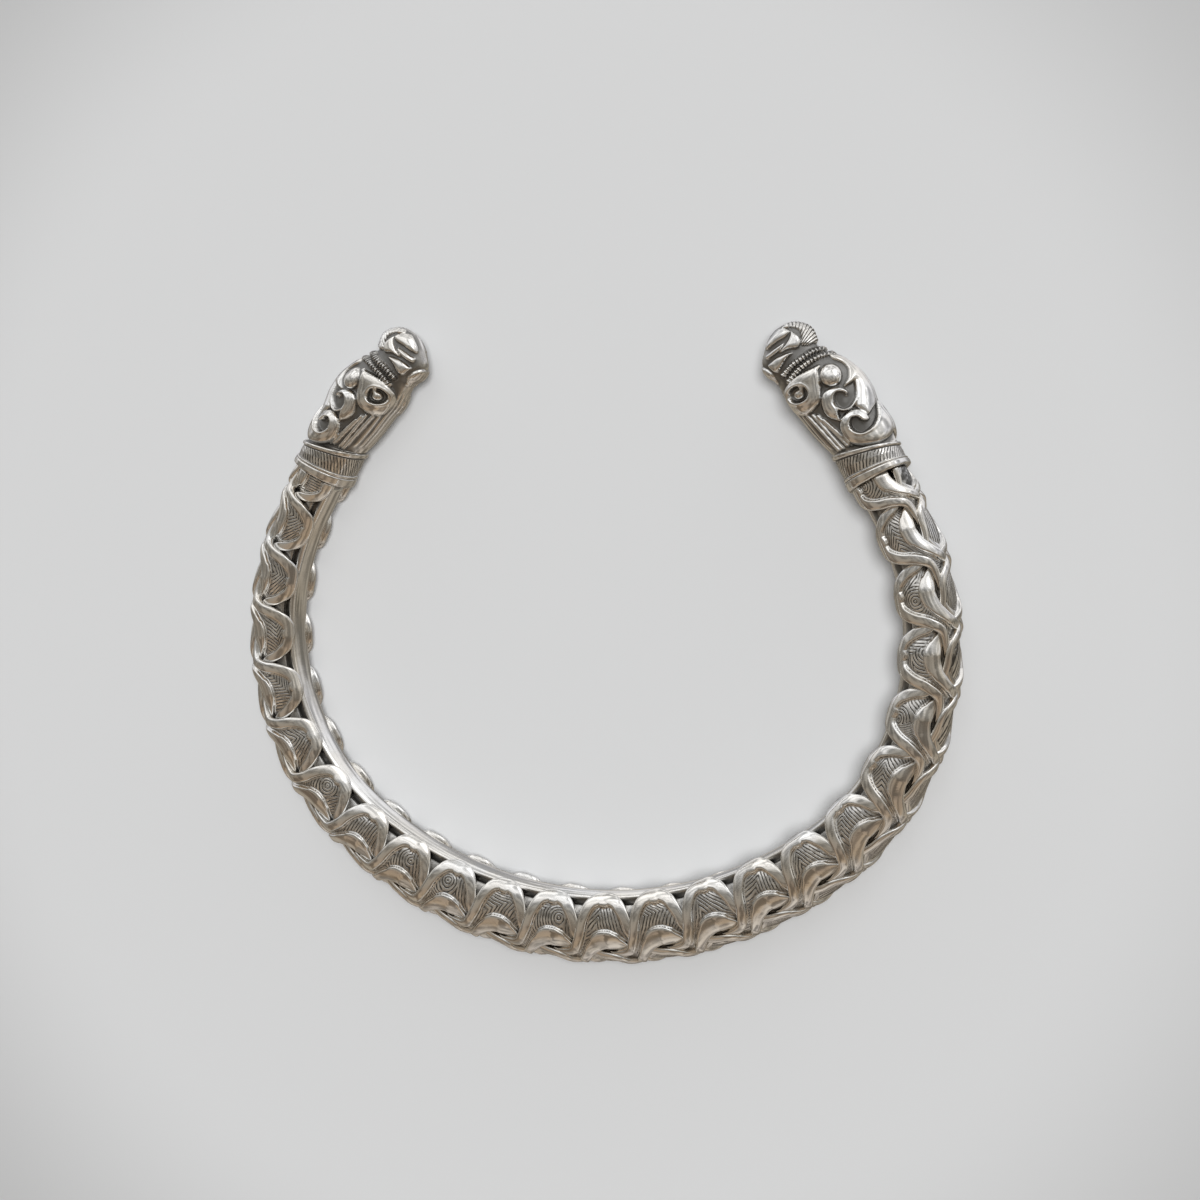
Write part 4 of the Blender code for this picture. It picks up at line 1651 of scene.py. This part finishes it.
def map_range(tree: bpy.types.NodeTree, value: bpy.types.NodeSocket, low: float, high: float,
              new_low: float, new_high: float) -> bpy.types.NodeSocket:
    """Add a node that maps a range smoothly to another and return its value.

    Args:
        tree: The tree that it goes in.
        value: The number that it maps.
        low: Where the range starts.
        high: Where the range ends.
        new_low: What the start becomes.
        new_high: What the end becomes.

    Returns:
        Its output.
    """
    node = tree.nodes.new("ShaderNodeMapRange")
    node.interpolation_type = "SMOOTHSTEP"
    for key, number in (("From Min", low), ("From Max", high), ("To Min", new_low),
                        ("To Max", new_high)):
        node.inputs[key].default_value = number
    tree.links.new(value, node.inputs["Value"])
    return node.outputs["Result"]


def mix_colour(tree: bpy.types.NodeTree, share: bpy.types.NodeSocket,
               first: bpy.types.NodeSocket | tuple,
               second: bpy.types.NodeSocket | tuple) -> bpy.types.NodeSocket:
    """Add a node that mixes two colours and return its colour.

    Args:
        tree: The tree that it goes in.
        share: How much of the second colour there is.
        first: A colour, or the output that gives it.
        second: The other colour, or its output.

    Returns:
        Its output.
    """
    node = tree.nodes.new("ShaderNodeMix")
    node.data_type = "RGBA"
    tree.links.new(share, node.inputs["Factor"])
    for socket, value in ((node.inputs[6], first), (node.inputs[7], second)):
        if isinstance(value, tuple):
            socket.default_value = value
        else:
            tree.links.new(value, socket)
    return node.outputs[2]


@dataclass(frozen=True)
class OxidisedSilver:
    """Polished silver with black tarnish left in its hollows and cut lines, and painted shade in
    its hollows.
    """

    name: str
    bright: tuple = (0.91, 0.905, 0.89, 1.0)
    warm: tuple = (0.88, 0.85, 0.80, 1.0)
    # Colour of the tarnish in hollows, which also stands for painted shade there.
    tarnish_and_shade: tuple = (0.25, 0.245, 0.235, 1.0)
    ink: tuple = (0.05, 0.048, 0.045, 1.0)
    plain: tuple = (0.72, 0.71, 0.68, 1.0)
    gloss: float = 0.12
    dull: float = 0.42
    tone_range: tuple[float, float] = (0.35, 0.65)
    haze_range: tuple[float, float] = (0.3, 0.7)
    haze_below: float = 0.05
    haze_above: float = 0.08
    line_depth: float = 0.00004
    dent_depth: float = 0.00002

    def make(self) -> bpy.types.Material:
        """Build the material.

        Returns:
            The material, which reads the marks that every piece carries.
        """
        material = bpy.data.materials.new(self.name)
        material.use_nodes = True
        material.diffuse_color = self.plain
        tree = material.node_tree
        shader = tree.nodes["Principled BSDF"]
        shader.inputs["Metallic"].default_value = 1.0
        place = tree.nodes.new("ShaderNodeTexCoord").outputs["Object"]
        marks = {}
        for mark in ("shade_and_tarnish", "engraved", "grain"):
            node = tree.nodes.new("ShaderNodeAttribute")
            node.attribute_name = mark
            marks[mark] = node.outputs["Fac"]
        lines = self.group(tree, LineGroup().build(), Phase=marks["grain"],
                           Strength=marks["engraved"], Vector=place)
        tarnish_and_shade = self.group(tree, PatinaAndShadeGroup().build(), Recess=marks["shade_and_tarnish"],
                             Groove=lines.outputs["Groove"], Vector=place)
        polish = self.group(tree, PolishGroup().build(), Vector=place)
        tone = map_range(tree, tarnish_and_shade.outputs["Tone"], *self.tone_range, 0.0, 1.0)
        metal = mix_colour(tree, tone, self.bright, self.warm)
        # The hollows' darkening is tarnish and painted shade in one colour.
        dark = mix_colour(tree, tarnish_and_shade.outputs["TarnishAndShade"], metal, self.tarnish_and_shade)
        colour = mix_colour(tree, lines.outputs["Groove"], dark, self.ink)
        tree.links.new(colour, shader.inputs["Base Color"])
        haze = map_range(tree, polish.outputs["Haze"], *self.haze_range,
                         self.gloss - self.haze_below, self.gloss + self.haze_above)
        dulled = math_node(tree, "MULTIPLY_ADD", tarnish_and_shade.outputs["TarnishAndShade"],
                           self.dull - self.gloss, haze)
        tree.links.new(dulled, shader.inputs["Roughness"])
        dents = tree.nodes.new("ShaderNodeBump")
        dents.inputs["Distance"].default_value = self.dent_depth
        tree.links.new(polish.outputs["Height"], dents.inputs["Height"])
        cuts = tree.nodes.new("ShaderNodeBump")
        cuts.inputs["Distance"].default_value = self.line_depth
        tree.links.new(lines.outputs["Height"], cuts.inputs["Height"])
        tree.links.new(dents.outputs["Normal"], cuts.inputs["Normal"])
        tree.links.new(cuts.outputs["Normal"], shader.inputs["Normal"])
        return material

    @staticmethod
    def group(tree: bpy.types.NodeTree, group: bpy.types.NodeTree,
              **inputs: bpy.types.NodeSocket) -> bpy.types.Node:
        """Place a node group in the material and link its inputs.

        Args:
            tree: The material's tree.
            group: The group.
            inputs: What goes into each of its inputs, by name.

        Returns:
            The placed node.
        """
        node = tree.nodes.new("ShaderNodeGroup")
        node.node_tree = group
        for key, socket in inputs.items():
            tree.links.new(socket, node.inputs[key])
        return node


@dataclass(frozen=True)
class PhotoCamera:
    """The camera at the photograph's viewing angle, looking down on the lying ring."""

    target: tuple = (1.09474, 4.67641, 3.32)
    distance: float = 292.245
    swing: float = 0.39967
    lift: float = 0.05393
    roll: float = 0.00416
    lens: float = 85.356
    sensor_width: float = 36.0
    nearest: float = 0.01

    def make(self) -> bpy.types.Object:
        """Add the camera and make it the scene's.

        Returns:
            The camera.
        """
        back = Vector((math.sin(self.swing) * math.cos(self.lift), math.sin(self.lift),
                       math.cos(self.swing) * math.cos(self.lift)))
        right = (-back).cross(Vector((0, 1, 0))).normalized()
        up = right.cross(-back)
        across = right * math.cos(self.roll) + up * math.sin(self.roll)
        above = up * math.cos(self.roll) - right * math.sin(self.roll)
        place = (Vector(self.target) + back * self.distance) * MM
        turn = Matrix((across, above, back)).transposed().to_4x4()
        data = bpy.data.cameras.new("photo_camera")
        data.sensor_width = self.sensor_width
        data.lens = self.lens
        data.clip_start = self.nearest
        camera = bpy.data.objects.new("photo_camera", data)
        bpy.context.collection.objects.link(camera)
        camera.matrix_world = Matrix.Translation(place) @ turn
        bpy.context.scene.camera = camera
        return camera


@dataclass(frozen=True)
class Studio:
    """A pale floor, two soft lights, and uneven surroundings that the silver mirrors.

    The surroundings are one ramp of colours over the horizon and one under it, both along
    Y, with soft patches over them and a brighter window on the right.
    """

    floor_size: float = 12.0
    floor_roughness: float = 0.75
    floor_tone: tuple = (0.69, 0.70, 0.71, 1.0)
    # The floor's edge colour is painted shade: the floor darkens from its middle outwards.
    floor_shaded_edge: tuple = (0.50, 0.505, 0.51, 1.0)
    floor_middle: tuple = (-0.009, 0.003, 0.0)
    floor_reach: tuple[float, float] = (0.065, 0.105)
    key_strength: float = 0.35
    key_spread: float = 45.0
    key_direction: tuple = (0.1, 0.45, 0.9)
    fill_strength: float = 2.36
    fill_spread: float = 20.0
    fill_direction: tuple = (0.39, 0.1, 0.92)
    upper: tuple = (
        (0.0, (0.46, 0.42, 0.37)), (0.07, (0.38, 0.33, 0.28)), (0.14, (0.29, 0.225, 0.16)),
        (0.28, (0.24, 0.19, 0.145)), (0.40, (0.225, 0.195, 0.16)), (0.50, (0.235, 0.215, 0.185)),
        (0.58, (0.25, 0.235, 0.21)), (0.65, (0.31, 0.30, 0.28)), (0.72, (0.45, 0.445, 0.435)),
        (0.80, (0.66, 0.655, 0.65)), (0.88, (0.92, 0.92, 0.92)), (1.0, (0.85, 0.85, 0.85)),
    )
    lower: tuple = (
        (0.0, (0.41, 0.37, 0.335)), (0.2, (0.27, 0.235, 0.19)), (0.42, (0.25, 0.225, 0.185)),
        (0.56, (0.30, 0.285, 0.26)), (0.68, (0.55, 0.55, 0.57)), (1.0, (0.75, 0.75, 0.75)),
    )
    horizon: float = 0.12
    ambient: float = 0.4
    unevenness_noise: tuple[float, float] = (3.2, 1.0)
    unevenness_range: tuple[float, float] = (0.38, 0.62)
    unevenness: float = 0.42
    window_direction: tuple = (0.72, 0.56, 0.3)
    window_edges: tuple[float, float] = (0.80, 0.92)
    window_gain: float = 1.8

    def floor(self) -> bpy.types.Object:
        """Add the floor and its material, which is painted darker towards its edges as shade.

        Returns:
            The floor.
        """
        bpy.ops.object.select_all(action="DESELECT")
        bpy.ops.mesh.primitive_plane_add(size=self.floor_size)
        floor = bpy.context.object
        floor.name = "studio_floor"
        floor.visible_glossy = False
        material = bpy.data.materials.new("pale_floor")
        material.use_nodes = True
        tree = material.node_tree
        shader = tree.nodes["Principled BSDF"]
        shader.inputs["Roughness"].default_value = self.floor_roughness
        place = tree.nodes.new("ShaderNodeTexCoord").outputs["Object"]
        length = tree.nodes.new("ShaderNodeVectorMath")
        length.operation = "DISTANCE"
        length.inputs[1].default_value = self.floor_middle
        tree.links.new(place, length.inputs[0])
        # Painted shade: the floor's colour darkens towards its edges.
        share = map_range(tree, length.outputs["Value"], *self.floor_reach, 0.0, 1.0)
        colour = mix_colour(tree, share, self.floor_tone, self.floor_shaded_edge)
        tree.links.new(colour, shader.inputs["Base Color"])
        floor.data.materials.append(material)
        return floor

    def lights(self) -> None:
        """Add the key light, a fill for the floor and the surroundings."""
        self.lamp("key", self.key_strength, self.key_spread, self.key_direction)
        self.lamp("fill", self.fill_strength, self.fill_spread, self.fill_direction)
        world = bpy.data.worlds.new("studio")
        bpy.context.scene.world = world
        world.use_nodes = True
        tree = world.node_tree
        background = tree.nodes["Background"]
        direction = tree.nodes.new("ShaderNodeTexCoord").outputs["Generated"]
        split = tree.nodes.new("ShaderNodeSeparateXYZ")
        tree.links.new(direction, split.inputs["Vector"])
        share = math_node(tree, "MULTIPLY_ADD", split.outputs["Y"], 0.5, 0.5)
        above = self.ramp(tree, share, self.upper)
        below = self.ramp(tree, share, self.lower)
        height = map_range(tree, split.outputs["Z"], -self.horizon, self.horizon, 0.0, 1.0)
        colour = mix_colour(tree, height, below, above)
        tree.links.new(colour, background.inputs["Color"])
        soft = tree.nodes.new("ShaderNodeLightPath").outputs["Is Diffuse Ray"]
        strength = math_node(tree, "MULTIPLY_ADD", soft, self.ambient - 1.0, 1.0)
        strength = math_node(tree, "MULTIPLY", strength, self.uneven_light(tree, direction))
        strength = math_node(tree, "MULTIPLY", strength, self.window(tree, direction))
        tree.links.new(strength, background.inputs["Strength"])

    def uneven_light(self, tree: bpy.types.NodeTree,
                     direction: bpy.types.NodeSocket) -> bpy.types.NodeSocket:
        """Light and dark patches over the surroundings, as in any real room.

        Args:
            tree: The world's tree.
            direction: The direction in which the surroundings are seen.

        Returns:
            The gain, which is 1 on average.
        """
        cloud = noise(tree, direction, *self.unevenness_noise)
        return map_range(tree, cloud, *self.unevenness_range, 1 - self.unevenness,
                         1 + self.unevenness)

    def window(self, tree: bpy.types.NodeTree,
               direction: bpy.types.NodeSocket) -> bpy.types.NodeSocket:
        """How much brighter the surroundings are towards the window on the right.

        Args:
            tree: The world's tree.
            direction: The direction in which the surroundings are seen.

        Returns:
            The gain, which is 1 away from the window.
        """
        node = tree.nodes.new("ShaderNodeVectorMath")
        node.operation = "DOT_PRODUCT"
        node.inputs[1].default_value = Vector(self.window_direction).normalized()
        tree.links.new(direction, node.inputs[0])
        return map_range(tree, node.outputs["Value"], *self.window_edges, 1.0, self.window_gain)

    @staticmethod
    def ramp(tree: bpy.types.NodeTree, share: bpy.types.NodeSocket,
             stops: tuple) -> bpy.types.NodeSocket:
        """Add a colour ramp and return its colour.

        Args:
            tree: The tree that it goes in.
            share: Where it is read, from 0 to 1.
            stops: Its stops, each a position and a colour.

        Returns:
            Its output.
        """
        node = tree.nodes.new("ShaderNodeValToRGB")
        elements = node.color_ramp.elements
        while len(elements) < len(stops):
            elements.new(0.5)
        for element, (position, colour) in zip(elements, stops):
            element.position = position
            element.color = (*colour, 1.0)
        tree.links.new(share, node.inputs["Fac"])
        return node.outputs["Color"]

    @staticmethod
    def lamp(name: str, strength: float, spread: float, direction: tuple) -> bpy.types.Object:
        """Add a soft far light that the silver itself doesn't mirror.

        Args:
            name: What the light is called.
            strength: How strong it is.
            spread: How wide it is in the sky, in degrees.
            direction: Where it stands, seen from the ring.

        Returns:
            The light.
        """
        data = bpy.data.lights.new(name, "SUN")
        data.energy = strength
        data.angle = math.radians(spread)
        lamp = bpy.data.objects.new(name, data)
        bpy.context.collection.objects.link(lamp)
        lamp.matrix_world = Vector(direction).to_track_quat("Z", "Y").to_matrix().to_4x4()
        lamp.visible_glossy = False
        return lamp

    def view(self) -> None:
        """Show colours as they are lit, with no film curve."""
        bpy.context.scene.view_settings.view_transform = "Standard"
        bpy.context.scene.view_settings.look = "None"


@dataclass(frozen=True)
class ArmRing:
    """The whole arm ring: core, four strands and two heads."""

    bar: Bar = Bar()

    def make(self) -> list[bpy.types.Object]:
        """Model and dress every piece.

        Returns:
            The core, the strands and the heads.
        """
        core = Core(self.bar)
        plait = Plait(self.bar)
        hollows = plait.hollows()
        plaited = OxidisedSilver("plaited_silver").make()
        carved = OxidisedSilver("carved_silver").make()
        smooth = OxidisedSilver("core_silver").make()
        pieces = [core.dressed(hollows, plait.arch_pitch, smooth)]
        pieces += plait.dressed(hollows, plaited)
        pieces += [BeastHead(self.bar, core, side).dressed(carved) for side in Side]
        return pieces


def main() -> None:
    """Build the camera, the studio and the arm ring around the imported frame."""
    logging.basicConfig(level=logging.INFO, format="%(message)s")
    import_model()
    PhotoCamera().make()
    studio = Studio()
    studio.floor()
    studio.lights()
    studio.view()
    for piece in ArmRing().make():
        log.info("%s: %d faces", piece.name, len(piece.data.polygons))


if __name__ == "__main__":
    main()
